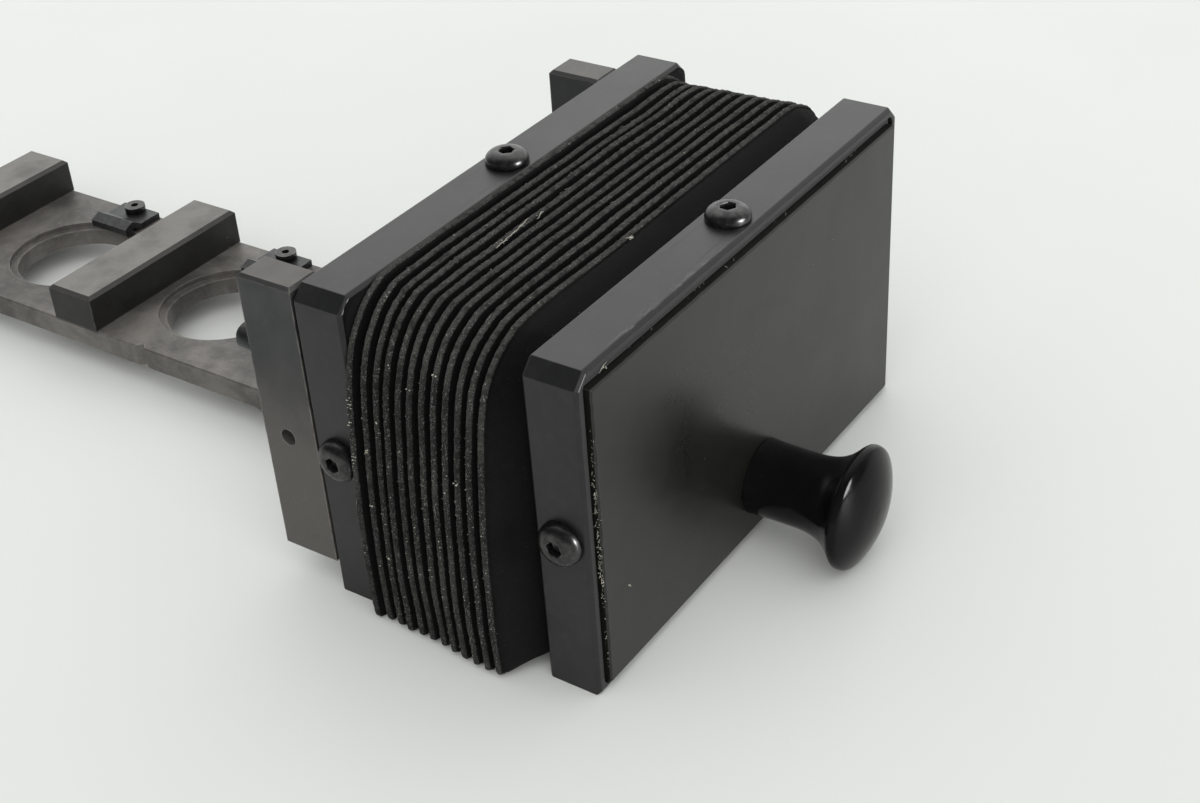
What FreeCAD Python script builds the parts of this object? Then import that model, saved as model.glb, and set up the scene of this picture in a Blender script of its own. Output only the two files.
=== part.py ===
import FreeCAD, Part
import os
import re
import Sketcher

# Negative carrier: a slide strip with two round windows runs through a slot in a rear guide
# plate. A knob pulls its front end, and a bellows joins the front and rear hoops.
# Frame: x runs left to right, z up, y from the knob (front, -y) to the strip's tail (rear, +y).
# Pieces are modelled with y = 0 on the bracket's mounting plane. At the end all of them move by
# datum_y, so that y = 0 is half way along the product. Sizes in mm.
# Sizes named *_face, *_deep or *_front on a front part count forwards from the mounting plane
# where they place a sketch on the XZ plane.

Vector = FreeCAD.Vector
doc = FreeCAD.newDocument("negative_carrier")

# ---------------------------------------------------------------- sizes
# (alias, value) or (alias, formula of the aliases above it)
SIZES = [
    # fits, and how far a cutter starts outside the material
    ("close_fit", 0.04), ("pin_fit", 0.02), ("slip_fit", 0.2), ("loose_fit", 0.3),
    ("overshoot", 1.0),
    # frames (front and rear hoops are the same part)
    ("frame_width", 84.0), ("frame_height", 50.0), ("frame_depth", 8.25),
    ("wall_side", 1.35), ("wall_top", 1.35), ("wall_base", 0.8),
    ("opening_radius", 1.2), ("cuff_radius", 1.15), ("corner_chamfer", 1.9), ("rim_bevel", 0.5),
    ("front_face", 54.0), ("rear_face", 17.65), ("frame_screw_z", 24.3), ("top_hole_reach", 3.0),
    # plugs inside the hoops: end panel at the front, guide plate at the rear
    ("plug_half", 40.0), ("plug_base", 1.25), ("plug_top", 47.4),
    ("panel_proud", 0.65), ("panel_edge", 0.25), ("panel_front", "front_face+panel_proud"),
    ("pocket_half", 30.0), ("pocket_base", 2.6), ("pocket_top", 38.0), ("pocket_depth", 5.25),
    ("pocket_floor", "front_face-frame_depth+pocket_depth"),
    # cloth cuffs
    ("cuff_half", 40.6), ("cuff_base", 0.85), ("cuff_top", 48.6),
    ("cuff_in_half", 40.05), ("cuff_in_base", 1.2), ("cuff_in_top", 47.45), ("cuff_setback", 0.7),
    # button-head screws; the dome is part of a ball, wider than the head it is trimmed to
    ("button_head_dia", 6.4), ("button_head_high", 2.3), ("button_flat", 0.12),
    ("button_key", 2.0), ("button_key_deep", 1.35), ("button_key_run", 1.6),
    ("button_dome_dia", "button_head_dia+0.84"),
    ("button_ball_radius", "(button_dome_dia*button_dome_dia/4"
                           "+button_head_high*button_head_high)/(2*button_head_high)"),
    ("screw_dia", 3.5), ("screw_clear_dia", "screw_dia+loose_fit"),
    ("screw_hole_dia", "screw_dia+close_fit"), ("side_screw_long", 8.0),
    # cap-head screws
    ("cap_head_dia", 5.5), ("cap_head_high", 3.0), ("cap_key", 2.5), ("cap_long", 12.0),
    # slide strip
    ("strip_half", 17.75), ("strip_base", 4.0), ("strip_thick", 4.0),
    ("strip_top", "strip_base+strip_thick"),
    ("strip_front", 45.0), ("strip_tail", 130.0), ("strip_edge", 0.3),
    ("window_dia", 21.0), ("seat_dia", 23.5), ("seat_deep", 1.0),
    ("window_front_y", 51.0), ("window_pitch", 38.0),
    ("window_rear_y", "window_front_y+window_pitch"),
    ("notch_offset", 3.35), ("notch_deep", 1.2),
    # guide slot, its liners and seals
    ("slot_half", 17.80), ("slot_base", 3.2), ("slot_top", 8.8),
    ("liner_thick", 0.75), ("liner_gap", 0.05), ("seal_long", 3.0),
    # cross bars
    ("bar_deep", 10.0), ("bar_high", 6.5), ("bar_front_y", 69.5), ("bar_rear_y", 113.5),
    ("bar_edge", 0.6), ("bar_hole_deep", 4.5),
    ("bar_screw_x", 12.5), ("bar_screw_dia", 2.5), ("bar_screw_head_dia", 4.6),
    ("bar_screw_head_high", 1.3), ("bar_screw_inset", 0.05), ("bar_screw_reach", 4.0),
    # clips: crown, tip_top and arch are heights around the body's top, tip_base is above its foot
    ("clip_x", 14.9), ("clip_wide", 4.6), ("clip_long", 9.0), ("clip_high", 1.2),
    ("clip_tongue", 4.0), ("clip_crown", 1.2), ("clip_tip_top", 0.4), ("clip_tip_base", 0.3),
    ("clip_arch", 0.2), ("clip_hole_reach", 3.0),
    ("clip_screw_x", "clip_x+0.7"), ("clip_screw_dia", 2.0), ("clip_head_dia", 3.8),
    ("clip_head_high", 1.3), ("clip_key", 1.3), ("clip_screw_reach", 3.0),
    # travel stops: the strip travels one window pitch between the two pairs of pins
    ("stop_dia", 3.0), ("stop_x", 14.0), ("stop_high", 4.2), ("stop_gap", 0.05),
    ("stop_recess", 0.1), ("front_stop_y", "-rear_face-stop_dia/2-stop_gap"),
    ("low_stop_y", "window_pitch-rear_face+frame_depth+stop_dia/2+stop_gap"),
    ("low_stop_in", 2.9), ("low_stop_drop", 2.4),
    # foot
    ("foot_half", 16.0), ("foot_base", 3.4), ("foot_top", 18.0), ("foot_rear", 33.0),
    ("foot_step", 45.2), ("foot_screw_x", 10.0), ("foot_screw_y", 39.0),
    ("foot_screw_dia", 3.0), ("foot_screw_short", 0.5),
    ("foot_dowel_x", 11.5), ("foot_dowel_z", 13.5), ("foot_dowel_dia", 3.0),
    ("foot_dowel_long", 5.6), ("foot_dowel_start", 1.2),
    ("dowel_in_panel", 2.0), ("dowel_in_foot", 4.0),
    # knob and its stud
    ("knob_z", 9.3), ("neck_radius", 5.6), ("base_radius", 6.0), ("head_radius", 9.2),
    ("knob_flare_start", 8.6), ("knob_rim_back", 14.7), ("knob_rim_front", 16.0),
    ("knob_long", 18.7), ("stud_dia", 5.0), ("stud_in_knob", 8.0), ("stud_in_foot", 5.7),
    ("stud_gap", 0.3), ("stud_hole_in_foot", 6.5), ("stud_hole_run", 8.0),
    # bracket
    ("post_left", 42.0), ("post_wide", 5.75), ("post_right", 29.5), ("post_base", 5.0),
    ("post_top", 49.6), ("post_deep", "rear_face-frame_depth"),
    ("beam_base", 10.0), ("beam_top", 18.0), ("post_edge", 0.5),
    ("side_hole_dia", 2.5), ("side_hole_y", 4.2), ("side_hole_z", 24.7),
    ("locating_dia", 4.0), ("spigot_dia", 3.0), ("locating_z", 37.5), ("locating_out", 4.0),
    ("locating_in", 6.0), ("locating_tip", 0.6), ("locating_start", 0.1),
    ("spigot_overlap", 0.05),
    ("left_pin_x", "-post_left+post_wide/2"), ("right_pin_x", "post_right+post_wide/2"),
    ("beam_screw_a", 27.4), ("beam_screw_b", 20.6), ("beam_screw_mid", 3.4),
    ("beam_screw_z", 14.0), ("beam_screw_dia", 3.0), ("beam_hole_deep", 7.0),
    ("beam_sink_dia", 6.0), ("beam_sink", 3.3),
    # drag device
    ("drag_y", 13.5), ("drag_z", 6.0), ("drag_bore", 4.0), ("drag_pad_long", 3.2),
    ("drag_pad_gap", 0.02), ("drag_set_out", 31.5), ("drag_set_in", 23.5),
    ("drag_key", 2.0), ("drag_key_deep", 2.0),
    ("disc_out_dia", 3.8), ("disc_in_dia", 2.0), ("disc_thick", 0.25), ("disc_cone", 0.15),
    ("disc_gap", 0.01), ("disc_pitch", "disc_thick+disc_cone+disc_gap"),
    # middle of the length, measured from the mounting plane
    ("datum_y", "(strip_tail-front_face-panel_proud-knob_long)/2"),
    # bellows
    ("fold_outer_half", 45.4), ("fold_base", 0.1), ("fold_top", 50.2), ("fold_radius", 10.5),
    ("fold_in_half", 38.6), ("fold_in_base", 3.4), ("fold_in_top", 46.6), ("fold_wall", 0.9),
    ("fold_front_gap", 0.05), ("fold_first", 40.9), ("fold_pitch", 2.0), ("fold_count", 12),
    ("fold_thick", 1.0), ("leaf_overlap", 0.2),
]
SIZE = {}


def num(expression):
    """Value of an expression of size names and numbers with + - * / and brackets."""
    tokens = re.findall(r"[a-z]\w*|[\d.]+|[-+*/()]", expression)

    def factor():
        token = tokens.pop(0)
        if token == "-":
            return -factor()
        if token == "(":
            value = total()
            tokens.pop(0)
            return value
        return SIZE[token] if token in SIZE else float(token)

    def product():
        value = factor()
        while tokens and tokens[0] in "*/":
            if tokens.pop(0) == "*":
                value *= factor()
            else:
                value /= factor()
        return value

    def total():
        value = product()
        while tokens and tokens[0] in "+-":
            if tokens.pop(0) == "+":
                value += product()
            else:
                value -= product()
        return value

    return total()


def linked(expression):
    """The same expression with every size name pointing at the spreadsheet."""
    return re.sub(r"[a-z]\w*", r"Params.\g<0>", expression)


def bind(obj, prop, expression):
    setattr(obj, prop, num(expression))
    obj.setExpression(prop, linked(expression))


sheet = doc.addObject("Spreadsheet::Sheet", "Params")
for row, (alias, size) in enumerate(SIZES, start=1):
    is_formula = isinstance(size, str)
    sheet.set(f"A{row}", alias)
    sheet.set(f"B{row}", "=" + size if is_formula else repr(size))
    sheet.setAlias(f"B{row}", alias)
    SIZE[alias] = num(size) if is_formula else float(size)
doc.recompute()

pieces = []


# ---------------------------------------------------------------- sketches
def new_body(label):
    body = doc.addObject("PartDesign::Body", "Body_" + label)
    body.Label = label
    pieces.append(body)
    return body


def origin_feature(body, role):
    return next(f for f in body.Origin.OriginFeatures if getattr(f, "Role", "") == role)


def pin_point(sketch, geo, position, x, y):
    """Tie one point of an element to the sketch origin by sheet expressions."""
    for axis, expression, axis_line in (("X", x, -2), ("Y", y, -1)):
        value = num(expression)
        if abs(value) < 1e-9:
            sketch.addConstraint(
                Sketcher.Constraint("PointOnObject", geo, position, axis_line))
            continue
        rule = linked(expression)
        if value > 0:
            ends = (-1, 1, geo, position)
        else:
            ends = (geo, position, -1, 1)
            rule = f"-({rule})"
        index = sketch.addConstraint(
            Sketcher.Constraint("Distance" + axis, *ends, abs(value)))
        name = f"point{geo}_{axis}"
        sketch.renameConstraint(index, name)
        sketch.setExpression("Constraints." + name, rule)


def add_outline(sketch, corners):
    """Closed outline whose corners are tied to the sheet."""
    points = [Vector(num(x), num(y), 0) for x, y in corners]
    count = len(points)
    base = sketch.GeometryCount
    for i in range(count):
        sketch.addGeometry(Part.LineSegment(points[i], points[(i + 1) % count]), False)
    for i in range(count):
        sketch.addConstraint(
            Sketcher.Constraint("Coincident", base + i, 2, base + (i + 1) % count, 1))
    for i, (x, y) in enumerate(corners):
        pin_point(sketch, base + i, 1, x, y)


def add_circle(sketch, x, y, diameter):
    circle = Part.Circle(Vector(num(x), num(y), 0), Vector(0, 0, 1), num(diameter) / 2)
    geo = sketch.addGeometry(circle, False)
    pin_point(sketch, geo, 3, x, y)
    index = sketch.addConstraint(Sketcher.Constraint("Diameter", geo, num(diameter)))
    name = f"diameter{geo}"
    sketch.renameConstraint(index, name)
    sketch.setExpression("Constraints." + name, linked(diameter))


def new_sketch(body, name, plane, offset="0", outlines=(), circles=()):
    """Sketch on an origin plane. A positive offset goes along the plane's normal:
    XY towards +z, YZ towards +x, XZ towards -y."""
    sketch = body.newObject("Sketcher::SketchObject", f"{body.Label}_{name}_sketch")
    sketch.AttachmentSupport = [(origin_feature(body, plane + "_Plane"), "")]
    sketch.MapMode = "FlatFace"
    if offset != "0":
        sketch.AttachmentOffset = FreeCAD.Placement(
            Vector(0, 0, num(offset)), FreeCAD.Rotation())
        sketch.setExpression("AttachmentOffset.Base.z", linked(offset))
    for corners in outlines:
        add_outline(sketch, corners)
    for circle in circles:
        add_circle(sketch, *circle)
    return sketch


def box(x0, x1, y0, y1):
    return [(x0, y0), (x1, y0), (x1, y1), (x0, y1)]


def mirrored(x, y, diameter):
    """Two circles, left and right of x = 0."""
    return [("-" + x, y, diameter), (x, y, diameter)]


# ---------------------------------------------------------------- solid features
def extrude(body, name, length, plane, offset="0", outlines=(), circles=(), reverse=False):
    """Pad along the plane's normal, or against it when reversed."""
    sketch = new_sketch(body, name, plane, offset, outlines, circles)
    feature = body.newObject("PartDesign::Pad", f"{body.Label}_{name}")
    feature.Profile = sketch
    bind(feature, "Length", length)
    feature.Reversed = reverse
    sketch.Visibility = False
    doc.recompute()
    return feature


def cut_into(body, name, length, plane, offset="0", outlines=(), circles=(), reverse=False):
    """Pocket against the plane's normal, or along it when reversed."""
    sketch = new_sketch(body, name, plane, offset, outlines, circles)
    before = body.Shape.Volume
    feature = body.newObject("PartDesign::Pocket", f"{body.Label}_{name}")
    feature.Profile = sketch
    bind(feature, "Length", length)
    feature.Reversed = reverse
    sketch.Visibility = False
    doc.recompute()
    if not body.Shape.Volume < before - 1e-6:
        raise RuntimeError(f"pocket {name} of {body.Label} cut nothing")


def dress(body, kind, name, size, wanted):
    """Fillet or chamfer on the edges that pass the test."""
    tip = body.Tip
    edges = [f"Edge{i}" for i, edge in enumerate(tip.Shape.Edges, start=1) if wanted(edge)]
    if not edges:
        raise RuntimeError(f"no edges for {name} on {body.Label}")
    feature = body.newObject("PartDesign::" + kind, f"{body.Label}_{name}")
    feature.Base = (tip, edges)
    bind(feature, "Radius" if kind == "Fillet" else "Size", size)
    doc.recompute()
    if feature.Shape.isNull() or not feature.Shape.isValid():
        raise RuntimeError(f"{name} on {body.Label} failed")


def middle(edge):
    bounds = edge.BoundBox
    return Vector((bounds.XMin + bounds.XMax) / 2, (bounds.YMin + bounds.YMax) / 2,
                  (bounds.ZMin + bounds.ZMax) / 2)


def runs_along_y(edge):
    if len(edge.Vertexes) != 2 or not isinstance(edge.Curve, (Part.Line, Part.LineSegment)):
        return False
    span = edge.Vertexes[1].Point - edge.Vertexes[0].Point
    return abs(span.y) > 1e-6 and abs(span.x) < 1e-6 and abs(span.z) < 1e-6


def corner_edges(half, base, top):
    """Test for the edges along y at the four corners of a box section."""
    half, base, top = num(half), num(base), num(top)

    def wanted(edge):
        centre = middle(edge)
        at_height = abs(centre.z - base) < 1e-4 or abs(centre.z - top) < 1e-4
        return runs_along_y(edge) and abs(abs(centre.x) - half) < 1e-4 and at_height

    return wanted


def edges_on_top(height):
    level = num(height)
    return lambda edge: abs(edge.BoundBox.ZMin - level) < 1e-5


# ---------------------------------------------------------------- screw holes of the frames
def frame_middle(face):
    """Middle y of the frame whose front face lies at the given distance."""
    return f"-{face}+frame_depth/2"


def cut_clearance_holes(body, face, half, top, top_run):
    """One hole through the left, right and top walls of a ring."""
    y = frame_middle(face)
    cut_into(body, "side_hole", f"2*{half}+2*overshoot", "YZ", f"-{half}-overshoot",
             circles=[(y, "frame_screw_z", "screw_clear_dia")], reverse=True)
    cut_into(body, "top_hole", top_run, "XY", f"{top}+overshoot",
             circles=[("0", y, "screw_clear_dia")])


def cut_plug_holes(body, face):
    """Blind screw holes in the left, right and top sides of a plug."""
    y = frame_middle(face)
    side = [(y, "frame_screw_z", "screw_hole_dia")]
    cut_into(body, "left_hole", "side_screw_long+overshoot", "YZ", "-plug_half-overshoot",
             circles=side, reverse=True)
    cut_into(body, "right_hole", "side_screw_long+overshoot", "YZ", "plug_half+overshoot",
             circles=side)
    cut_into(body, "top_hole", "side_screw_long", "XY", "plug_top+overshoot",
             circles=[("0", y, "screw_hole_dia")])


# ---------------------------------------------------------------- hoops
def build_hoop(label, face):
    """Thin-walled clamping hoop with its two upper corners cut off."""
    body = new_body(label)
    half, corner, top = "frame_width/2", "corner_chamfer", "frame_height"
    outer = [(f"-{half}", "0"), (half, "0"), (half, f"{top}-{corner}"),
             (f"{half}-{corner}", top), (f"-{half}+{corner}", top),
             (f"-{half}", f"{top}-{corner}")]
    inner_half, inner_top = f"{half}-wall_side", f"{top}-wall_top"
    inner = box(f"-{half}+wall_side", inner_half, "wall_base", inner_top)
    extrude(body, "ring", "frame_depth", "XZ", face, [outer, inner], reverse=True)
    dress(body, "Fillet", "inner_corners", "opening_radius",
          corner_edges(inner_half, "wall_base", inner_top))

    front_y = -num(face)
    rear_y = front_y + SIZE["frame_depth"]
    side_x, top_z = num(half), SIZE[top]
    half_corner = SIZE[corner] / 2

    def on_outer_rim(edge):
        """Edges of the outer outline on the front and rear faces."""
        centre, bounds = middle(edge), edge.BoundBox
        on_face = any(max(abs(bounds.YMin - y), abs(bounds.YMax - y)) < 1e-5
                      for y in (front_y, rear_y))
        straight = (abs(abs(centre.x) - side_x) < 1e-4 or abs(centre.z - top_z) < 1e-4
                    or abs(centre.z) < 1e-4)
        slanted = (abs(abs(centre.x) - (side_x - half_corner)) < 1e-3
                   and abs(centre.z - top_z + half_corner) < 1e-3)
        return on_face and (straight or slanted)

    dress(body, "Chamfer", "rim_bevel", "rim_bevel", on_outer_rim)
    cut_clearance_holes(body, face, half, top, "wall_top+top_hole_reach")


# ---------------------------------------------------------------- cloth cuffs
def build_cuff(label, face, cuff_front):
    body = new_body(label)
    extrude(body, "ring", "frame_depth-cuff_setback", "XZ", cuff_front,
            [box("-cuff_half", "cuff_half", "cuff_base", "cuff_top"),
             box("-cuff_in_half", "cuff_in_half", "cuff_in_base", "cuff_in_top")],
            reverse=True)
    dress(body, "Fillet", "corners", "cuff_radius",
          corner_edges("cuff_half", "cuff_base", "cuff_top"))
    cut_clearance_holes(body, face, "cuff_half", "cuff_top", "top_hole_reach")


# ---------------------------------------------------------------- plugs
PLUG = box("-plug_half", "plug_half", "plug_base", "plug_top")
BEAM_SCREWS_X = ("-beam_screw_a", "beam_screw_b", "-beam_screw_mid")


def beam_circles(diameter):
    return [(x, "beam_screw_z", diameter) for x in BEAM_SCREWS_X]


def build_end_panel():
    """Front plug, slightly proud of its hoop, with a pocket in its rear side."""
    body = new_body("end_panel")
    extrude(body, "block", "frame_depth+panel_proud", "XZ", "panel_front", [PLUG],
            reverse=True)
    cut_into(body, "pocket", "pocket_depth", "XZ", "front_face-frame_depth",
             [box("-pocket_half", "pocket_half", "pocket_base", "pocket_top")], reverse=True)
    front_y = -SIZE["panel_front"]
    dress(body, "Chamfer", "edge_break", "panel_edge",
          lambda edge: abs(edge.BoundBox.YMax - front_y) < 1e-5)
    cut_plug_holes(body, "front_face")
    cut_into(body, "stud_hole", "stud_hole_run", "XZ", "panel_front+overshoot",
             circles=[("0", "knob_z", "stud_dia+slip_fit")])
    cut_into(body, "dowel_holes", "dowel_in_panel", "XZ", "pocket_floor",
             circles=mirrored("foot_dowel_x", "foot_dowel_z", "foot_dowel_dia"), reverse=True)


def build_rear_guide_plate():
    """Rear plug with the slot that the strip runs through."""
    body = new_body("rear_guide_plate")
    slot = box("-slot_half", "slot_half", "slot_base", "slot_top")
    extrude(body, "block", "frame_depth", "XZ", "rear_face", [PLUG, slot], reverse=True)
    cut_plug_holes(body, "rear_face")
    # the drag bore runs from the left side into the slot
    cut_into(body, "drag_bore", "plug_half-slot_half+1.5*overshoot", "YZ",
             "-plug_half-overshoot", circles=[("-drag_y", "drag_z", "drag_bore")],
             reverse=True)
    cut_into(body, "beam_holes", "beam_hole_deep", "XZ", "post_deep",
             circles=beam_circles("beam_screw_dia+close_fit"), reverse=True)


def build_slot_strips():
    """Seals at the front of the slot, liners behind them, below and above the strip."""
    heights = {"lower": ("slot_base", "slot_base+liner_thick"),
               "upper": ("slot_top-liner_thick", "slot_top")}
    lengths = {"liner": ("rear_face-seal_long-liner_gap", "frame_depth-seal_long-liner_gap"),
               "seal": ("rear_face", "seal_long")}
    for kind, (front, length) in lengths.items():
        for level, (base, top) in heights.items():
            body = new_body(f"{kind}_{level}")
            section = box("-slot_half+liner_gap", "slot_half-liner_gap", base, top)
            extrude(body, "pad", length, "XZ", front, [section], reverse=True)


# ---------------------------------------------------------------- bracket behind the rear frame
def build_bracket():
    """Two uprights of unequal offset joined by a beam."""
    body = new_body("mount_bracket")
    left_out, left_in = "-post_left", "-post_left+post_wide"
    right_in, right_out = "post_right", "post_right+post_wide"
    outline = [
        (left_out, "post_base"), (left_in, "post_base"), (left_in, "beam_base"),
        (right_in, "beam_base"), (right_in, "post_base"), (right_out, "post_base"),
        (right_out, "post_top"), (right_in, "post_top"), (right_in, "beam_top"),
        (left_in, "beam_top"), (left_in, "post_top"), (left_out, "post_top")]
    extrude(body, "block", "post_deep", "XZ", "post_deep", [outline], reverse=True)
    dress(body, "Chamfer", "top_break", "post_edge", edges_on_top("post_top"))
    cut_into(body, "side_hole", "post_left+post_right+post_wide+2*overshoot", "YZ",
             "-post_left-overshoot",
             circles=[("-side_hole_y", "side_hole_z", "side_hole_dia")], reverse=True)
    cut_into(body, "pin_holes", "locating_in+overshoot/2", "XZ", "-overshoot/2",
             circles=[(x, "locating_z", "spigot_dia+pin_fit")
                      for x in ("left_pin_x", "right_pin_x")], reverse=True)
    cut_into(body, "beam_holes", "post_deep+2*overshoot", "XZ", "-overshoot",
             circles=beam_circles("beam_screw_dia+loose_fit"), reverse=True)
    cut_into(body, "beam_sinks", "beam_sink", "XZ",
             circles=beam_circles("beam_sink_dia"), reverse=True)


# ---------------------------------------------------------------- slide strip
WINDOWS_Y = ("window_front_y", "window_rear_y")
BARS_Y = ("bar_front_y", "bar_rear_y")


def build_strip():
    """Flat strip with two windows, seats around them and two V notches in its left edge."""
    body = new_body("slide_strip")
    outline = [("-strip_half", "-strip_front"), ("strip_half", "-strip_front"),
               ("strip_half", "strip_tail"), ("-strip_half", "strip_tail")]
    for window in reversed(WINDOWS_Y):
        notch = f"{window}+notch_offset"
        outline += [("-strip_half", f"{notch}+notch_deep"),
                    ("-strip_half+notch_deep", notch),
                    ("-strip_half", f"{notch}-notch_deep")]
    extrude(body, "plate", "strip_thick", "XY", "strip_base", [outline],
            [("0", y, "window_dia") for y in WINDOWS_Y])
    cut_into(body, "seats", "seat_deep", "XY", "strip_top",
             circles=[("0", y, "seat_dia") for y in WINDOWS_Y])
    dress(body, "Chamfer", "edge_break", "strip_edge",
          corner_edges("strip_half", "strip_base", "strip_top"))

    through = mirrored("foot_screw_x", "-foot_screw_y", "foot_screw_dia+close_fit")
    through += mirrored("stop_x", "front_stop_y", "stop_dia+pin_fit")
    for y in BARS_Y:
        through += mirrored("bar_screw_x", y, "bar_screw_dia+slip_fit")
    through += [("clip_screw_x", y, "clip_screw_dia+close_fit") for y in WINDOWS_Y]
    cut_into(body, "through_holes", "strip_thick", "XY", "strip_top", circles=through)

    sinks = [circle for y in BARS_Y
             for circle in mirrored("bar_screw_x", y, "bar_screw_head_dia+slip_fit")]
    cut_into(body, "counterbores", "bar_screw_head_high+2*bar_screw_inset", "XY",
             "strip_base", circles=sinks, reverse=True)
    cut_into(body, "low_pin_holes", "low_stop_in+stop_recess", "XY", "strip_base",
             circles=mirrored("stop_x", "low_stop_y", "stop_dia+pin_fit"), reverse=True)


def build_cross_bar(label, y):
    """Bar across the strip, screwed on from below."""
    body = new_body(label)
    plan = box("-strip_half", "strip_half", f"{y}-bar_deep/2", f"{y}+bar_deep/2")
    extrude(body, "pad", "bar_high", "XY", "strip_top", [plan])
    dress(body, "Chamfer", "edge_break", "bar_edge", edges_on_top("strip_top+bar_high"))
    cut_into(body, "holes", "bar_hole_deep", "XY", "strip_top",
             circles=mirrored("bar_screw_x", y, "bar_screw_dia+close_fit"), reverse=True)


def build_clip(label, y):
    """Flat body with a raised tongue that reaches left over the window's seat."""
    body = new_body(label)
    inner, outer = "clip_x-clip_wide/2", "clip_x+clip_wide/2"
    crown, tip = f"{inner}-clip_tongue/2", f"{inner}-clip_tongue"
    body_top = "strip_top+clip_high"
    section = [
        (outer, "strip_top"), (outer, body_top), (inner, body_top),
        (crown, f"{body_top}+clip_crown"), (tip, f"{body_top}+clip_tip_top"),
        (tip, "strip_top+clip_tip_base"), (crown, f"{body_top}-clip_arch"),
        (inner, "strip_top")]
    extrude(body, "pad", "clip_long", "XZ", f"-{y}+clip_long/2", [section], reverse=True)
    cut_into(body, "hole", "2*clip_hole_reach", "XY", f"{body_top}+clip_hole_reach",
             circles=[("clip_screw_x", y, "clip_screw_dia+slip_fit")])


# ---------------------------------------------------------------- foot block
def build_foot():
    """Stepped block on the strip's front end, seated against the panel's pocket floor."""
    body = new_body("strip_foot")
    side = [("-pocket_floor", "foot_base"), ("-foot_step", "foot_base"),
            ("-foot_step", "strip_top"), ("-foot_rear", "strip_top"),
            ("-foot_rear", "foot_top"), ("-pocket_floor", "foot_top")]
    extrude(body, "block", "foot_half*2", "YZ", "-foot_half", [side])
    cut_into(body, "stud_hole", "stud_hole_in_foot", "XZ", "pocket_floor",
             circles=[("0", "knob_z", "stud_dia+close_fit")])
    cut_into(body, "dowel_holes", "dowel_in_foot", "XZ", "pocket_floor",
             circles=mirrored("foot_dowel_x", "foot_dowel_z", "foot_dowel_dia"))
    cut_into(body, "screw_holes", "foot_top", "XY", "foot_top+overshoot",
             circles=mirrored("foot_screw_x", "-foot_screw_y", "foot_screw_dia+slip_fit"))


# ---------------------------------------------------------------- knob
# (distance in front of the panel, radius) from the panel to the knob's face
KNOB_PROFILE = [
    ("0", "0"), ("0", "base_radius"), ("0.3", "base_radius"), ("1.2", "neck_radius"),
    ("knob_flare_start", "neck_radius"),
    ("knob_flare_start+2.2", "neck_radius+0.45"),
    ("knob_flare_start+4.2", "neck_radius+1.5"),
    ("knob_rim_back", "head_radius-0.25"), ("knob_rim_back+0.35", "head_radius"),
    ("knob_rim_front-0.35", "head_radius"), ("knob_rim_front", "head_radius-0.25"),
    ("knob_rim_front+1.1", "head_radius*0.77"), ("knob_rim_front+1.95", "head_radius*0.52"),
    ("knob_long-0.15", "head_radius*0.26"), ("knob_long", "0"),
]
KNOB_AXIS_LENGTH = 25


def build_knob():
    """Turned knob about the pull axis, with a blind stud hole."""
    body = new_body("pull_knob")
    profile = [(f"-panel_front-({distance})", f"knob_z+{radius}")
               for distance, radius in KNOB_PROFILE]
    sketch = new_sketch(body, "profile", "YZ", outlines=[profile])
    start_y, axis_z = -SIZE["panel_front"], SIZE["knob_z"]
    axis = sketch.addGeometry(
        Part.LineSegment(Vector(start_y, axis_z, 0),
                         Vector(start_y - KNOB_AXIS_LENGTH, axis_z, 0)), True)
    sketch.addConstraint(Sketcher.Constraint("Horizontal", axis))
    sketch.addConstraint(Sketcher.Constraint("Coincident", axis, 1, 0, 1))
    turned = body.newObject("PartDesign::Revolution", "knob_turned")
    turned.Profile = sketch
    turned.ReferenceAxis = (sketch, ["Axis0"])
    turned.Angle = 360
    sketch.Visibility = False
    doc.recompute()
    cut_into(body, "stud_hole", "stud_in_knob+overshoot", "XZ", "panel_front-overshoot",
             circles=[("0", "knob_z", "stud_dia+close_fit")], reverse=True)


# ---------------------------------------------------------------- bellows
def build_bellows():
    """Thin tube with a leaf at each outer fold; the leaves' upper corners are faceted."""
    body = new_body("bellows")
    tube_outer = box("-fold_in_half-fold_wall", "fold_in_half+fold_wall",
                     "fold_in_base-fold_wall", "fold_in_top+fold_wall")
    tube_inner = box("-fold_in_half", "fold_in_half", "fold_in_base", "fold_in_top")
    extrude(body, "tube", "front_face-frame_depth-rear_face-2*fold_front_gap", "XZ",
            "front_face-frame_depth-fold_front_gap", [tube_outer, tube_inner], reverse=True)

    half, base, top, radius = "fold_outer_half", "fold_base", "fold_top", "fold_radius"
    # inset of the rounding's 45-degree point from both sides
    inset = "fold_radius*0.2929"
    leaf_outer = [
        (f"-{half}", base), (half, base), (half, f"{top}-{radius}"),
        (f"{half}-{inset}", f"{top}-{inset}"), (f"{half}-{radius}", top),
        (f"-{half}+{radius}", top), (f"-{half}+{inset}", f"{top}-{inset}"),
        (f"-{half}", f"{top}-{radius}")]
    leaf_inner = box("-fold_in_half-leaf_overlap", "fold_in_half+leaf_overlap",
                     "fold_in_base-leaf_overlap", "fold_in_top+leaf_overlap")
    leaf = extrude(body, "leaf", "fold_thick", "XZ", "fold_first", [leaf_outer, leaf_inner],
                   reverse=True)
    pattern = body.newObject("PartDesign::LinearPattern", "bellows_leaves")
    pattern.Originals = [leaf]
    pattern.Direction = (origin_feature(body, "Y_Axis"), [""])
    pattern.Mode = 0  # spaced over the overall length
    bind(pattern, "Length", "fold_pitch*(fold_count-1)")
    pattern.Occurrences = int(SIZE["fold_count"])
    pattern.setExpression("Occurrences", linked("fold_count"))
    body.Tip = pattern
    doc.recompute()


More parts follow.
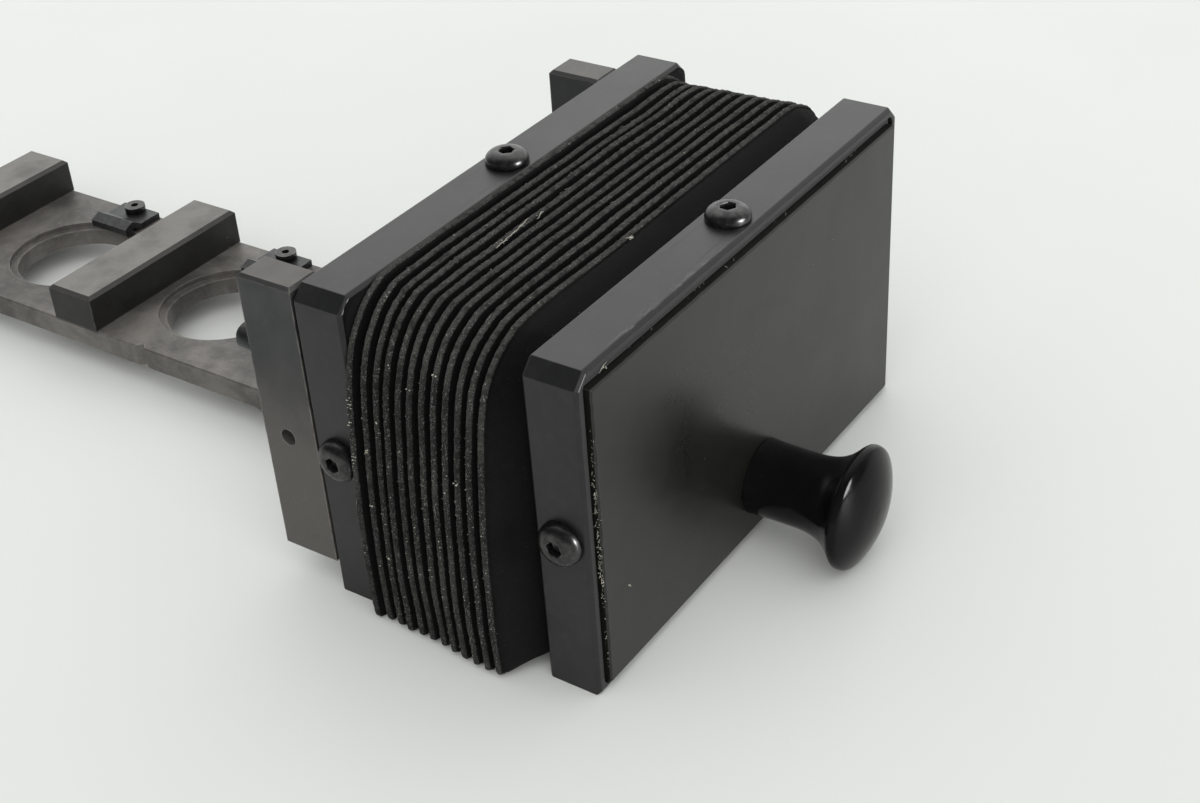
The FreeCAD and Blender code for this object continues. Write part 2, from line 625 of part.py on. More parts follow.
# ---------------------------------------------------------------- primitives
# rotation (axis, degrees) that turns +z to each direction
TURNS = {"+z": ((1, 0, 0), 0), "-z": ((1, 0, 0), 180),
         "+x": ((0, 1, 0), 90), "-x": ((0, 1, 0), -90),
         "+y": ((1, 0, 0), -90), "-y": ((1, 0, 0), 90)}


def primitive(kind, name, place, direction, **sizes):
    """Part primitive with its base centre at place (three expressions)."""
    obj = doc.addObject("Part::" + kind, name)
    for prop, expression in sizes.items():
        bind(obj, prop, expression)
    axis, angle = TURNS[direction]
    obj.Placement = FreeCAD.Placement(
        Vector(*[num(p) for p in place]), FreeCAD.Rotation(Vector(*axis), angle))
    for letter, expression in zip("xyz", place):
        obj.setExpression("Placement.Base." + letter, linked(expression))
    return obj


def cylinder(name, diameter, length, place, direction):
    return primitive("Cylinder", name, place, direction,
                     Radius=f"({diameter})/2", Height=length)


def hex_key(name, across, length, place, direction):
    """Hexagonal prism given by its width across flats."""
    prism = primitive("Prism", name, place, direction,
                      Circumradius=f"({across})/1.7320508", Height=length)
    prism.Polygon = 6
    return prism


def shifted(place, direction, distance):
    """Place moved by a distance expression in a direction."""
    moved = list(place)
    moved["xyz".index(direction[1])] += f"{direction[0]}({distance})"
    return tuple(moved)


def opposite(direction):
    return ("-" if direction[0] == "+" else "+") + direction[1]


def fuse(name, *parts):
    obj = doc.addObject("Part::MultiFuse", name)
    obj.Shapes = list(parts)
    obj.Refine = True
    return obj


def cut(name, base, tool):
    obj = doc.addObject("Part::Cut", name)
    obj.Base = base
    obj.Tool = tool
    return obj


def group(label, parts):
    """Piece made of several separate solids."""
    obj = doc.addObject("Part::Compound", "Group_" + label)
    obj.Links = list(parts)
    obj.Label = label
    pieces.append(obj)


def single(label, obj):
    obj.Label = label
    pieces.append(obj)


# ---------------------------------------------------------------- screws
def button_screw(name, place, out):
    """Button-head screw seated at place, with its head facing out."""
    blank = cylinder(name + "_blank", "button_head_dia", "button_head_high-button_flat",
                     place, out)
    ball = primitive("Sphere", name + "_ball",
                     shifted(place, out, "button_head_high-button_ball_radius"), "+z",
                     Radius="button_ball_radius")
    head = doc.addObject("Part::MultiCommon", name + "_head")
    head.Shapes = [blank, ball]
    key = hex_key(name + "_key", "button_key", "button_key_run",
                  shifted(place, out, "button_head_high-button_key_deep"), out)
    keyed = cut(name + "_keyed", head, key)
    shank = cylinder(name + "_shank", "screw_dia", "side_screw_long", place, opposite(out))
    return fuse(name, keyed, shank)


def build_collar_screws(label, face):
    y = frame_middle(face)
    group(label, [
        button_screw(label + "_left", ("-frame_width/2", y, "frame_screw_z"), "-x"),
        button_screw(label + "_right", ("frame_width/2", y, "frame_screw_z"), "+x"),
        button_screw(label + "_top", ("0", y, "frame_height"), "+z")])


def cap_screw(name, place, out, diameter, length,
              head_dia="cap_head_dia", head_high="cap_head_high", key="cap_key"):
    """Cap-head screw seated at place; its hexagon recess goes half way into the head."""
    blank = cylinder(name + "_blank", head_dia, head_high, place, out)
    recess = hex_key(name + "_key", key, f"{head_high}*0.6",
                     shifted(place, out, f"{head_high}*0.5"), out)
    keyed = cut(name + "_keyed", blank, recess)
    shank = cylinder(name + "_shank", diameter, length, place, opposite(out))
    return fuse(name, keyed, shank)


def build_cap_screws():
    group("bracket_screws", [
        cap_screw(f"bracket_screw_{i}", (x, "-beam_sink", "beam_screw_z"), "+y",
                  "beam_screw_dia", "cap_long")
        for i, x in enumerate(BEAM_SCREWS_X, start=1)])
    group("foot_screws", [
        cap_screw(f"foot_screw_{i}", (x, "-foot_screw_y", "foot_top"), "+z",
                  "foot_screw_dia", "foot_top-strip_base-foot_screw_short")
        for i, x in enumerate(("-foot_screw_x", "foot_screw_x"), start=1)])
    group("clip_screws", [
        cap_screw(f"clip_screw_{i}", ("clip_screw_x", y, "strip_top+clip_high"), "+z",
                  "clip_screw_dia", "clip_high+clip_screw_reach",
                  head_dia="clip_head_dia", head_high="clip_head_high", key="clip_key")
        for i, y in enumerate(WINDOWS_Y, start=1)])


def bar_screw(name, x, y):
    """Plain flat-headed screw sunk in the strip's underside."""
    place = (x, y, "strip_base+bar_screw_inset")
    head = cylinder(name + "_head", "bar_screw_head_dia", "bar_screw_head_high", place, "+z")
    shank = cylinder(name + "_shank", "bar_screw_dia", "strip_thick+bar_screw_reach",
                     place, "+z")
    return fuse(name, head, shank)


def build_bar_screws():
    places = [(x, y) for y in BARS_Y for x in ("-bar_screw_x", "bar_screw_x")]
    group("bar_screws", [bar_screw(f"bar_screw_{i}", x, y)
                         for i, (x, y) in enumerate(places, start=1)])


# ---------------------------------------------------------------- pins
def build_stop_pins():
    """One pair stands on the strip in front of the rear frame, one hangs below behind it."""
    sides = ("-stop_x", "stop_x")
    upper = [cylinder("upper_stop", "stop_dia", "strip_thick+stop_high-stop_recess",
                      (x, "front_stop_y", "strip_base+stop_recess"), "+z") for x in sides]
    lower = [cylinder("lower_stop", "stop_dia", "low_stop_drop+low_stop_in",
                      (x, "low_stop_y", "strip_base-low_stop_drop"), "+z") for x in sides]
    group("stop_pins", upper + lower)


def build_foot_dowels():
    group("foot_dowels", [
        cylinder("foot_dowel", "foot_dowel_dia-pin_fit", "foot_dowel_long",
                 (x, "-front_face+foot_dowel_start", "foot_dowel_z"), "+y")
        for x in ("-foot_dowel_x", "foot_dowel_x")])


def locating_pin(name, x):
    """Thin spigot set in the upright, with a thicker body and coned tip behind it."""
    spigot = cylinder(name + "_spigot", "spigot_dia", "locating_in+spigot_overlap",
                      (x, "-locating_in+locating_start", "locating_z"), "+y")
    body = cylinder(name + "_body", "locating_dia-pin_fit",
                    "locating_out-locating_tip-locating_start",
                    (x, "locating_start", "locating_z"), "+y")
    tip = primitive("Cone", name + "_tip", (x, "locating_out-locating_tip", "locating_z"),
                    "+y", Radius1="(locating_dia-pin_fit)/2",
                    Radius2="locating_dia/2-locating_tip", Height="locating_tip")
    return fuse(name, spigot, body, tip)


def build_locating_pins():
    group("locating_pins", [locating_pin("locating_pin_left", "left_pin_x"),
                            locating_pin("locating_pin_right", "right_pin_x")])


def build_knob_stud():
    """Stud from the knob through the panel into the foot."""
    length = "stud_in_knob-stud_gap+panel_front-pocket_floor+stud_in_foot"
    single("knob_stud", cylinder("stud", "stud_dia", length,
                                 ("0", "-panel_front-stud_in_knob+stud_gap", "knob_z"), "+y"))


# ---------------------------------------------------------------- drag device
# In the guide plate's left bore, outwards from the strip: pad, disc springs, set screw.
PAD_OUTER_X = "-strip_half-drag_pad_gap-drag_pad_long"
DISC_COUNT = 6


def on_drag_axis(x):
    return (x, "-drag_y", "drag_z")


def build_drag_plugs():
    single("drag_pad", cylinder("pad_plug", "drag_bore-2*close_fit", "drag_pad_long",
                                on_drag_axis(PAD_OUTER_X), "+x"))
    blank = cylinder("setscrew_blank", "drag_bore-close_fit", "drag_set_out-drag_set_in",
                     on_drag_axis("-drag_set_out"), "+x")
    key = hex_key("setscrew_key", "drag_key", "drag_key_deep",
                  on_drag_axis("-drag_set_out+drag_key_deep"), "-x")
    single("drag_setscrew", cut("setscrew_keyed", blank, key))


def disc_spring(name, rim_x, rise):
    """Conical washer with its rim at rim_x, rising in the given direction."""
    place = on_drag_axis(rim_x)

    def cone(part, base):
        return primitive("Cone", name + part, base, rise, Radius1="disc_out_dia/2",
                         Radius2="disc_in_dia/2", Height="disc_cone")

    rim = cylinder(name + "_rim", "disc_out_dia", "disc_thick", place, rise)
    top = cone("_top", shifted(place, rise, "disc_thick"))
    hollow = cone("_hollow", place)
    bore = cylinder(name + "_bore", "disc_in_dia", "disc_thick+disc_cone", place, rise)
    return cut(name, fuse(name + "_blank", rim, top), fuse(name + "_tool", hollow, bore))


def build_drag_spring():
    """Disc springs alternately rising outwards (-x) and inwards (+x)."""
    discs = []
    for i in range(DISC_COUNT):
        outwards = i % 2 == 0
        steps = i if outwards else i + 1
        rim_x = f"{PAD_OUTER_X}-disc_gap-disc_pitch*{steps}"
        if not outwards:
            rim_x += "+disc_gap"
        discs.append(disc_spring(f"disc_{i + 1}", rim_x, "-x" if outwards else "+x"))
    group("drag_spring", discs)


# ---------------------------------------------------------------- build
build_hoop("front_collar", "front_face")
build_hoop("rear_collar", "rear_face")
build_cuff("front_cuff", "front_face", "front_face-cuff_setback")
build_cuff("rear_cuff", "rear_face", "rear_face")
build_end_panel()
build_rear_guide_plate()
build_slot_strips()
build_bracket()
build_strip()
build_cross_bar("cross_bar_front", "bar_front_y")
build_cross_bar("cross_bar_rear", "bar_rear_y")
build_clip("clip_front", "window_front_y")
build_clip("clip_rear", "window_rear_y")
build_foot()
build_knob()
build_bellows()
build_collar_screws("front_collar_screws", "front_face")
build_collar_screws("rear_collar_screws", "rear_face")
build_cap_screws()
build_bar_screws()
build_stop_pins()
build_foot_dowels()
build_locating_pins()
build_knob_stud()
build_drag_plugs()
build_drag_spring()
doc.recompute()

# ---------------------------------------------------------------- datum
# A piece that is a bare primitive already has a rule for y, which the shift extends.
for piece in pieces:
    own_rules = [rule for path, rule in piece.ExpressionEngine
                 if path.lstrip(".") == "Placement.Base.y"]
    placement = piece.Placement
    base = placement.Base
    placement.Base = Vector(base.x, base.y - SIZE["datum_y"], base.z)
    piece.Placement = placement
    start = own_rules[0] if own_rules else "0"
    piece.setExpression("Placement.Base.y", f"{start} - Params.datum_y")
doc.recompute()

# ---------------------------------------------------------------- state of each object, export
faults = [f"{obj.Name} {obj.Label} {obj.State}" for obj in doc.Objects
          if "Invalid" in obj.State or "Error" in obj.State]
for piece in pieces:
    shape = piece.Shape
    if shape.isNull() or not shape.isValid() or not shape.Solids:
        faults.append("shape of " + piece.Label)
if faults:
    raise RuntimeError("; ".join(faults))
os.makedirs("parts", exist_ok=True)
for piece in pieces:
    piece.Shape.exportStep(f"parts/{piece.Label}.step")
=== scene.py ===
"""A pleated bellows between a fixed rear frame and a sliding front frame, with a pull knob.

Z is up and the base stands on z = 0. The product runs along Y: the front is towards -Y, and the
carriage (front frame, end panel, knob) slides along Y. Left is -X. Geometry is worked out in
millimetres and turned into metres when an object is made.
"""
import math
import random

import bmesh
import bpy
import numpy as np
from mathutils import Matrix, Vector


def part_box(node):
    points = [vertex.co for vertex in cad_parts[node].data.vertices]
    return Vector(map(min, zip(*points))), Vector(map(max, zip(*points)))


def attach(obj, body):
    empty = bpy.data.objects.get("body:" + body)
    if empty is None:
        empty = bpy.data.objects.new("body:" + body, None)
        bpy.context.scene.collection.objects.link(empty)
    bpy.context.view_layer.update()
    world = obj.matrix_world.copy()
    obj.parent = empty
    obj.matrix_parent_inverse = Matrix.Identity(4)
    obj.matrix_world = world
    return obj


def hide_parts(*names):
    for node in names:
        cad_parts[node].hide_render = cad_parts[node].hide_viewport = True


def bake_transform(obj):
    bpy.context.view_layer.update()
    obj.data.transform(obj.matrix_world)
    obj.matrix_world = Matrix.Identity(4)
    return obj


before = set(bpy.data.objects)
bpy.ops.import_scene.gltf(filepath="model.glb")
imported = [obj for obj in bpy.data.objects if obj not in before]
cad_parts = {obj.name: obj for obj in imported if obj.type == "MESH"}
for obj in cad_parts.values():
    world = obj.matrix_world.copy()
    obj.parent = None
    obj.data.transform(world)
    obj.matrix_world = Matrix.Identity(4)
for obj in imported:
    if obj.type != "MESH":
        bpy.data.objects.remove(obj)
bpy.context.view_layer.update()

MM = 0.001
SCENE = bpy.context.scene
REAR, CARRIAGE = "rear_frame", "carriage"
MOUNT_Y = -28.325        # mounting plane of the bracket, along Y from the datum
FRAME_TOP = 50.0         # top of both frames


# ------------------------------------------------------------------ mesh helpers (millimetres)
def link_object(name, data):
    obj = bpy.data.objects.new(name, data)
    SCENE.collection.objects.link(obj)
    return obj


def mesh_object(name, verts, faces, material, smooth=True):
    mesh = bpy.data.meshes.new(name)
    mesh.from_pydata([tuple(float(c) * MM for c in v) for v in verts], [], faces)
    mesh.update()
    if smooth:
        mesh.polygons.foreach_set("use_smooth", [True] * len(mesh.polygons))
    obj = link_object(name, mesh)
    mesh.materials.append(material)
    return obj


def join_parts(parts):
    """Several (verts, faces) pairs as one."""
    verts, faces = [], []
    for part_verts, part_faces in parts:
        first = len(verts)
        verts.extend(part_verts)
        faces.extend([tuple(i + first for i in face) for face in part_faces])
    return verts, faces


def rings_to_mesh(rings):
    """Rings of equal length, joined by quads, with both ends closed by fans."""
    count = len(rings[0])
    verts = [point for ring in rings for point in ring]
    faces = []
    for k in range(len(rings) - 1):
        for j in range(count):
            a, b = k * count + j, k * count + (j + 1) % count
            faces.append((a, b, b + count, a + count))
    verts.append(tuple(np.mean(np.array(rings[0], float), axis=0)))
    hub = len(verts) - 1
    faces.extend([(hub, (j + 1) % count, j) for j in range(count)])
    verts.append(tuple(np.mean(np.array(rings[-1], float), axis=0)))
    hub, last = len(verts) - 1, (len(rings) - 1) * count
    faces.extend([(hub, last + j, last + (j + 1) % count) for j in range(count)])
    return verts, faces


def spline(points, steps):
    """Catmull-Rom curve through 2D points, with so many steps a span."""
    knots = [np.array(p, float) for p in points]
    knots = [2 * knots[0] - knots[1]] + knots + [2 * knots[-1] - knots[-2]]
    curve = []
    for i in range(1, len(knots) - 2):
        a, b, c, d = knots[i - 1:i + 3]
        for k in range(steps):
            t = k / steps
            curve.append(0.5 * ((2 * b) + (c - a) * t + (2 * a - 5 * b + 4 * c - d) * t * t
                                + (3 * b - a - 3 * c + d) * t ** 3))
    curve.append(knots[-2])
    return curve


def place(verts, axis, origin, spin):
    """Turn verts by spin about local Z, point local Z along axis and move them to origin."""
    aim = Vector((0, 0, 1)).rotation_difference(Vector(axis)).to_matrix()
    turn = aim @ Matrix.Rotation(spin, 3, "Z")
    shift = Vector(origin)
    return [tuple(turn @ Vector(v) + shift) for v in verts]


def sharpen(obj, degrees):
    """Mark edges that turn by more than this angle as sharp."""
    mesh = bmesh.new()
    mesh.from_mesh(obj.data)
    for edge in mesh.edges:
        if len(edge.link_faces) == 2 and edge.calc_face_angle(0.0) > math.radians(degrees):
            edge.smooth = False
    mesh.to_mesh(obj.data)
    mesh.free()


# ------------------------------------------------------------------ shader helpers
def scaled(color, factor):
    return tuple(min(1.0, c * factor) for c in color)


def squeeze_along(axis, factor):
    """Coordinate factors that stretch a texture along one axis when factor is below 1."""
    return tuple(factor if letter == axis else 1.0 for letter in "XYZ")


class Graph:
    """Builds nodes in an emptied node tree."""

    def __init__(self, tree):
        self.tree = tree
        tree.nodes.clear()

    def add(self, kind, **settings):
        node = self.tree.nodes.new("ShaderNode" + kind)
        for key, value in settings.items():
            setattr(node, key, value)
        return node

    def put(self, socket, value):
        """Link a socket to the input, or set a number, a vector or a colour (alpha 1 added)."""
        if isinstance(value, bpy.types.NodeSocket):
            self.tree.links.new(value, socket)
        elif isinstance(value, tuple):
            alpha = (1.0,) if len(value) == 3 and len(socket.default_value) == 4 else ()
            socket.default_value = value + alpha
        else:
            socket.default_value = value

    def mix(self, mask, a, b, blend="MIX"):
        node = self.add("Mix", data_type="RGBA", blend_type=blend)
        for index, value in ((0, mask), (6, a), (7, b)):
            self.put(node.inputs[index], value)
        return node.outputs[2]

    def dot(self, a, b):
        node = self.add("VectorMath", operation="DOT_PRODUCT")
        self.put(node.inputs[0], a)
        self.put(node.inputs[1], b)
        return node.outputs["Value"]


class Mat(Graph):
    """A Principled material with textures in millimetres.

    Textures follow the object's coordinates, or the vector attribute named by rest.
    """

    INPUTS = {"rough": "Roughness", "metal": "Metallic", "ior": "IOR",
              "spec": "Specular IOR Level", "sheen": "Sheen Weight",
              "sheen_rough": "Sheen Roughness"}

    def __init__(self, name, rest=None):
        self.material = bpy.data.materials.new(name)
        self.material.use_nodes = True
        super().__init__(self.material.node_tree)
        output = self.add("OutputMaterial")
        self.shader = self.add("BsdfPrincipled")
        self.put(output.inputs[0], self.shader.outputs[0])
        if rest:
            self.coords = self.add("Attribute", attribute_name=rest).outputs["Vector"]
        else:
            source = self.add("TexCoord")
            scale = self.add("VectorMath", operation="SCALE")
            scale.inputs["Scale"].default_value = 1.0 / MM
            self.put(scale.inputs[0], source.outputs["Object"])
            self.coords = scale.outputs[0]
        self.color = None
        self.normal = None

    def math(self, operation, a, b, clamp=False):
        node = self.add("Math", operation=operation, use_clamp=clamp)
        self.put(node.inputs[0], a)
        self.put(node.inputs[1], b)
        return node.outputs[0]

    def times(self, a, b):
        return self.math("MULTIPLY", a, b)

    def larger(self, a, b):
        return self.math("MAXIMUM", a, b)

    def plus(self, start, mask, amount, clamp=False):
        """start + mask * amount"""
        return self.math("ADD", start, self.times(mask, amount), clamp)

    def split(self, vector):
        node = self.add("SeparateXYZ")
        self.put(node.inputs[0], vector)
        return node.outputs

    def normal_z(self):
        return self.split(self.add("NewGeometry").outputs["Normal"])[2]

    def noise(self, scale, detail=4.0, rough=0.6, distortion=0.0, squeeze=None):
        coords = self.coords
        if squeeze:
            factors = self.add("VectorMath", operation="MULTIPLY")
            self.put(factors.inputs[0], coords)
            factors.inputs[1].default_value = squeeze
            coords = factors.outputs[0]
        node = self.add("TexNoise")
        for socket, value in (("Scale", scale), ("Detail", detail), ("Roughness", rough),
                              ("Distortion", distortion), ("Vector", coords)):
            self.put(node.inputs[socket], value)
        return node.outputs["Fac"]

    def wave(self, scale, direction):
        node = self.add("TexWave", bands_direction=direction)
        node.inputs["Scale"].default_value = scale
        self.put(node.inputs["Vector"], self.coords)
        return node.outputs["Fac"]

    def ramp(self, value, low, high, start=0.0, end=1.0):
        """Smooth step from start at low to end at high."""
        node = self.add("MapRange", interpolation_type="SMOOTHSTEP", clamp=True)
        for socket, number in zip(node.inputs, (value, low, high, start, end)):
            self.put(socket, number)
        return node.outputs[0]

    def patches(self, low, high, start=0.0, end=1.0, **noise):
        return self.ramp(self.noise(**noise), low, high, start, end)

    def rubbed_edges(self, radius, **patches):
        """1 close to a hard edge, broken up by patches, and 0 on flats. radius in mm."""
        bevel = self.add("Bevel", samples=4)
        bevel.inputs["Radius"].default_value = radius * MM
        flat = self.add("NewGeometry").outputs["Normal"]
        turn = self.math("SUBTRACT", 1.0, self.dot(bevel.outputs[0], flat))
        return self.times(self.ramp(turn, low=0.02, high=0.25), self.patches(**patches))

    def specks(self, cells, size, share):
        """Small round specks: cells per mm, size in mm, share of the cells that hold one."""
        node = self.add("TexVoronoi")
        node.inputs["Scale"].default_value = cells
        self.put(node.inputs["Vector"], self.coords)
        rim = size * cells
        near = self.ramp(node.outputs["Distance"], rim * 0.6, rim, start=1.0, end=0.0)
        cell = self.split(node.outputs["Color"])[0]
        return self.times(near, self.math("GREATER_THAN", cell, 1.0 - share))

    def dust(self, coarse, fine, fine_amount):
        """Two sizes of specks, each given as (cells, size, share)."""
        return self.larger(self.specks(*coarse), self.times(self.specks(*fine), fine_amount))

    def scratches(self, direction, scale, threshold, stretch=30.0):
        """Fine scratches that run along direction."""
        return self.patches(scale=scale, detail=2, distortion=0.3, low=threshold,
                            high=threshold + 0.1, squeeze=squeeze_along(direction, 1.0 / stretch))

    def paint(self, mask, color, amount=None):
        """Lay color over the present one where mask is 1, weakened by amount if given."""
        if amount is not None:
            mask = self.times(mask, amount)
        self.color = self.mix(mask, self.color, color)

    def bump(self, height, strength, depth):
        """Bump over the earlier ones; depth in mm."""
        node = self.add("Bump")
        node.inputs["Strength"].default_value = strength
        node.inputs["Distance"].default_value = depth * MM
        self.put(node.inputs["Height"], height)
        if self.normal is not None:
            self.put(node.inputs["Normal"], self.normal)
        self.normal = node.outputs[0]

    def finish(self, **inputs):
        self.put(self.shader.inputs["Base Color"], self.color)
        self.put(self.shader.inputs["Normal"], self.normal)
        for key, value in inputs.items():
            self.put(self.shader.inputs[self.INPUTS[key]], value)
        return self.material


# ------------------------------------------------------------------ materials
def anodised(name, dark, light, rough, wear, streaks=None):
    """Satin black anodised metal: faint mottling, dust, rubbed edges, fine blasted grain."""
    mat = Mat(name)
    mat.color = mat.mix(mat.patches(scale=0.045, detail=3, low=0.35, high=0.7), dark, light)
    mat.paint(mat.patches(scale=0.6, low=0.45, high=0.75), scaled(light, 1.9), amount=0.35)
    dust = mat.dust(coarse=(0.42, 0.10, 0.16), fine=(1.3, 0.06, 0.10), fine_amount=0.6)
    mat.paint(dust, (0.33, 0.325, 0.31), amount=0.75)
    edges = mat.rubbed_edges(radius=0.45, scale=0.55, rough=0.65, low=0.38, high=0.72)
    mat.paint(edges, (0.17, 0.17, 0.165), amount=wear)
    scratched = mat.larger(mat.scratches("X", scale=1.5, threshold=0.70),
                           mat.scratches("Y", scale=1.3, threshold=0.73))
    mat.paint(scratched, (0.12, 0.12, 0.12), amount=0.18)
    if streaks:
        mat.paint(streaks(mat), (0.20, 0.20, 0.195))
    rough = mat.plus(rough - 0.06, mat.noise(scale=0.12), amount=0.14)
    rough = mat.plus(rough, dust, amount=0.3, clamp=True)
    mat.bump(mat.noise(scale=7.0, detail=3, rough=0.7), strength=0.35, depth=0.006)
    mat.bump(mat.noise(scale=0.22, detail=2, rough=0.5), strength=0.12, depth=0.05)
    return mat.finish(rough=rough, ior=1.43)


def front_top_streaks(mat):
    """Light rub marks on the top of the front frame, along its front edge."""
    x, y, z = mat.split(mat.coords)
    on_edge = mat.times(mat.ramp(z, low=FRAME_TOP - 0.15, high=FRAME_TOP - 0.05),
                        mat.ramp(y, low=MOUNT_Y - 52.2, high=MOUNT_Y - 53.2))
    span = mat.times(mat.ramp(x, low=-36.0, high=-30.0), mat.ramp(x, low=-2.0, high=-10.0))
    marks = mat.patches(scale=1.6, rough=0.7, squeeze=(0.22, 1.2, 1.0), low=0.50, high=0.72,
                        end=0.5)
    return mat.times(mat.times(on_edge, span), marks)


def panel_material():
    mat = Mat("satin_panel")
    mat.color = mat.mix(mat.patches(scale=0.04, detail=3, low=0.35, high=0.68),
                        (0.0095, 0.0094, 0.0088), (0.013, 0.0128, 0.0119))
    mat.paint(mat.patches(scale=1.1, detail=5, rough=0.65, low=0.5, high=0.8),
              (0.036, 0.035, 0.033), amount=0.25)
    mat.paint(mat.patches(scale=3.6, rough=0.7, low=0.5, high=0.75),
              (0.034, 0.0335, 0.031), amount=0.3)
    dust = mat.dust(coarse=(0.33, 0.09, 0.13), fine=(1.1, 0.05, 0.08), fine_amount=0.55)
    mat.paint(dust, (0.36, 0.355, 0.34), amount=0.8)
    edges = mat.rubbed_edges(radius=0.4, scale=0.6, rough=0.65, low=0.36, high=0.70)
    mat.paint(edges, (0.19, 0.19, 0.185), amount=0.6)
    smudges = mat.patches(scale=0.07, detail=5, rough=0.62, distortion=0.6, low=0.3, high=0.75,
                          start=0.27, end=0.36)
    rough = mat.plus(smudges, dust, amount=0.3, clamp=True)
    mat.bump(mat.noise(scale=5.0, detail=3, rough=0.7), strength=0.40, depth=0.007)
    mat.bump(mat.noise(scale=0.16, detail=2, rough=0.5), strength=0.15, depth=0.05)
    return mat.finish(rough=rough, ior=1.40)


def worn_metal(name, dark, light, rough, metal, along="Y", edge_color=(0.42, 0.40, 0.37),
               wear=0.8, patch_scale=0.09, lit_top_color=None, low_color=None):
    """Dark anodised aluminium rubbed down to a brownish grey, with its grain along one axis.

    The top colour is painted light that lightens upward faces; low_color goes on the lower part of
    the piece.
    """
    mat = Mat(name)
    mat.color = mat.mix(mat.patches(scale=patch_scale, detail=5, rough=0.62, distortion=0.4,
                                    low=0.34, high=0.66), dark, light)
    mat.paint(mat.patches(scale=0.8, detail=5, rough=0.7, squeeze=squeeze_along(along, 0.45),
                          low=0.48, high=0.74), scaled(light, 1.5), amount=0.30)
    if low_color:
        height = mat.plus(mat.split(mat.coords)[2], mat.noise(scale=0.13), amount=14.0)
        mat.paint(mat.ramp(height, low=46.0, high=27.0, end=0.9), low_color)
    fine = mat.noise(scale=3.5, rough=0.7)
    mat.paint(mat.ramp(fine, low=0.45, high=0.75), scaled(dark, 0.45), amount=0.35)
    if lit_top_color:
        # painted light: upward faces lightened as if lit from above
        mat.paint(mat.ramp(mat.normal_z(), low=0.6, high=0.95), lit_top_color,
                  amount=mat.patches(scale=0.16, low=0.25, high=0.6, start=0.55))
        mat.paint(mat.ramp(fine, low=0.5, high=0.8), scaled(lit_top_color, 0.5), amount=0.3)
    scratched = mat.larger(mat.scratches(along, scale=2.6, threshold=0.71),
                           mat.scratches("X", scale=1.6, threshold=0.74, stretch=22.0))
    mat.paint(scratched, edge_color, amount=0.22)
    edges = mat.rubbed_edges(radius=0.5, scale=0.45, rough=0.65, low=0.30, high=0.62)
    mat.paint(edges, edge_color, amount=wear)
    mat.paint(mat.specks(cells=0.6, size=0.09, share=0.16), (0.5, 0.49, 0.46), amount=0.7)
    rough = mat.plus(rough - 0.05, mat.noise(scale=0.3), amount=0.16)
    rough = mat.math("SUBTRACT", rough, mat.times(edges, 0.1), clamp=True)
    mat.bump(mat.noise(scale=5.0, detail=3, rough=0.7), strength=0.35, depth=0.006)
    mat.bump(scratched, strength=-0.25, depth=0.01)
    return mat.finish(rough=rough, metal=metal)


def knob_material():
    mat = Mat("gloss_knob")
    mat.color = mat.mix(mat.patches(scale=0.12, detail=3, low=0.35, high=0.7),
                        (0.0045, 0.0045, 0.0046), (0.007, 0.007, 0.007))
    dust = mat.dust(coarse=(0.55, 0.07, 0.12), fine=(1.6, 0.045, 0.08), fine_amount=0.6)
    mat.paint(dust, (0.28, 0.275, 0.26), amount=0.5)
    scratched = mat.scratches("Z", scale=3.2, threshold=0.70, stretch=18.0)
    rough = mat.patches(scale=0.25, rough=0.62, distortion=0.5, low=0.3, high=0.75,
                        start=0.10, end=0.19)
    rough = mat.plus(rough, mat.larger(dust, scratched), amount=0.18, clamp=True)
    mat.bump(mat.noise(scale=0.8, detail=2, rough=0.5), strength=0.20, depth=0.05)
    mat.bump(scratched, strength=-0.15, depth=0.004)
    return mat.finish(rough=rough, ior=1.20)


def screw_material(name, dark, light, rough, metal):
    mat = Mat(name)
    mat.color = mat.mix(mat.patches(scale=0.8, rough=0.65, low=0.35, high=0.7), dark, light)
    edges = mat.rubbed_edges(radius=0.22, scale=1.6, detail=3, low=0.3, high=0.65)
    mat.paint(edges, (0.38, 0.37, 0.36), amount=0.6)
    fine = mat.noise(scale=6.0, detail=3, rough=0.7)
    mat.paint(mat.ramp(fine, low=0.5, high=0.8), scaled(dark, 0.4), amount=0.3)
    mat.paint(mat.specks(cells=1.2, size=0.07, share=0.12), (0.5, 0.49, 0.46), amount=0.6)
    rough = mat.plus(rough - 0.05, mat.noise(scale=1.4), amount=0.15, clamp=True)
    mat.bump(fine, strength=0.3, depth=0.006)
    return mat.finish(rough=rough, metal=metal)


def cloth_material(name, dark, light, thread):
    """Plain-woven black cloth: crossed sets of threads (thread in mm) over fibre noise."""
    mat = Mat(name)
    across_x, across_y, across_z = [mat.wave(0.5 / thread, axis) for axis in "XYZ"]
    weave = mat.larger(mat.times(across_x, across_y),
                       mat.times(across_z, mat.larger(across_x, across_y)))
    fibres = mat.noise(scale=6.0, rough=0.7, distortion=0.6)
    fading = mat.patches(scale=0.2, detail=3, low=0.3, high=0.7, start=0.5)
    mat.color = mat.mix(mat.times(weave, fading), dark, light)
    mat.paint(mat.ramp(fibres, low=0.55, high=0.8), scaled(light, 3.0), amount=0.45)
    mat.bump(weave, strength=0.5, depth=0.05)
    mat.bump(fibres, strength=0.5, depth=0.03)
    return mat.finish(rough=0.9, sheen=0.25, sheen_rough=0.5)


def plastic_material():
    mat = Mat("ivory_plastic")
    mat.color = mat.mix(mat.patches(scale=0.3, low=0.35, high=0.7),
                        (0.72, 0.69, 0.62), (0.80, 0.78, 0.71))
    mat.paint(mat.scratches("Y", scale=2.0, threshold=0.6), (0.45, 0.42, 0.37), amount=0.4)
    rough = mat.plus(0.42, mat.noise(scale=0.8, detail=3, rough=0.55), amount=0.15)
    mat.bump(mat.noise(scale=5.0, detail=3, rough=0.55), strength=0.3, depth=0.006)
    return mat.finish(rough=rough)


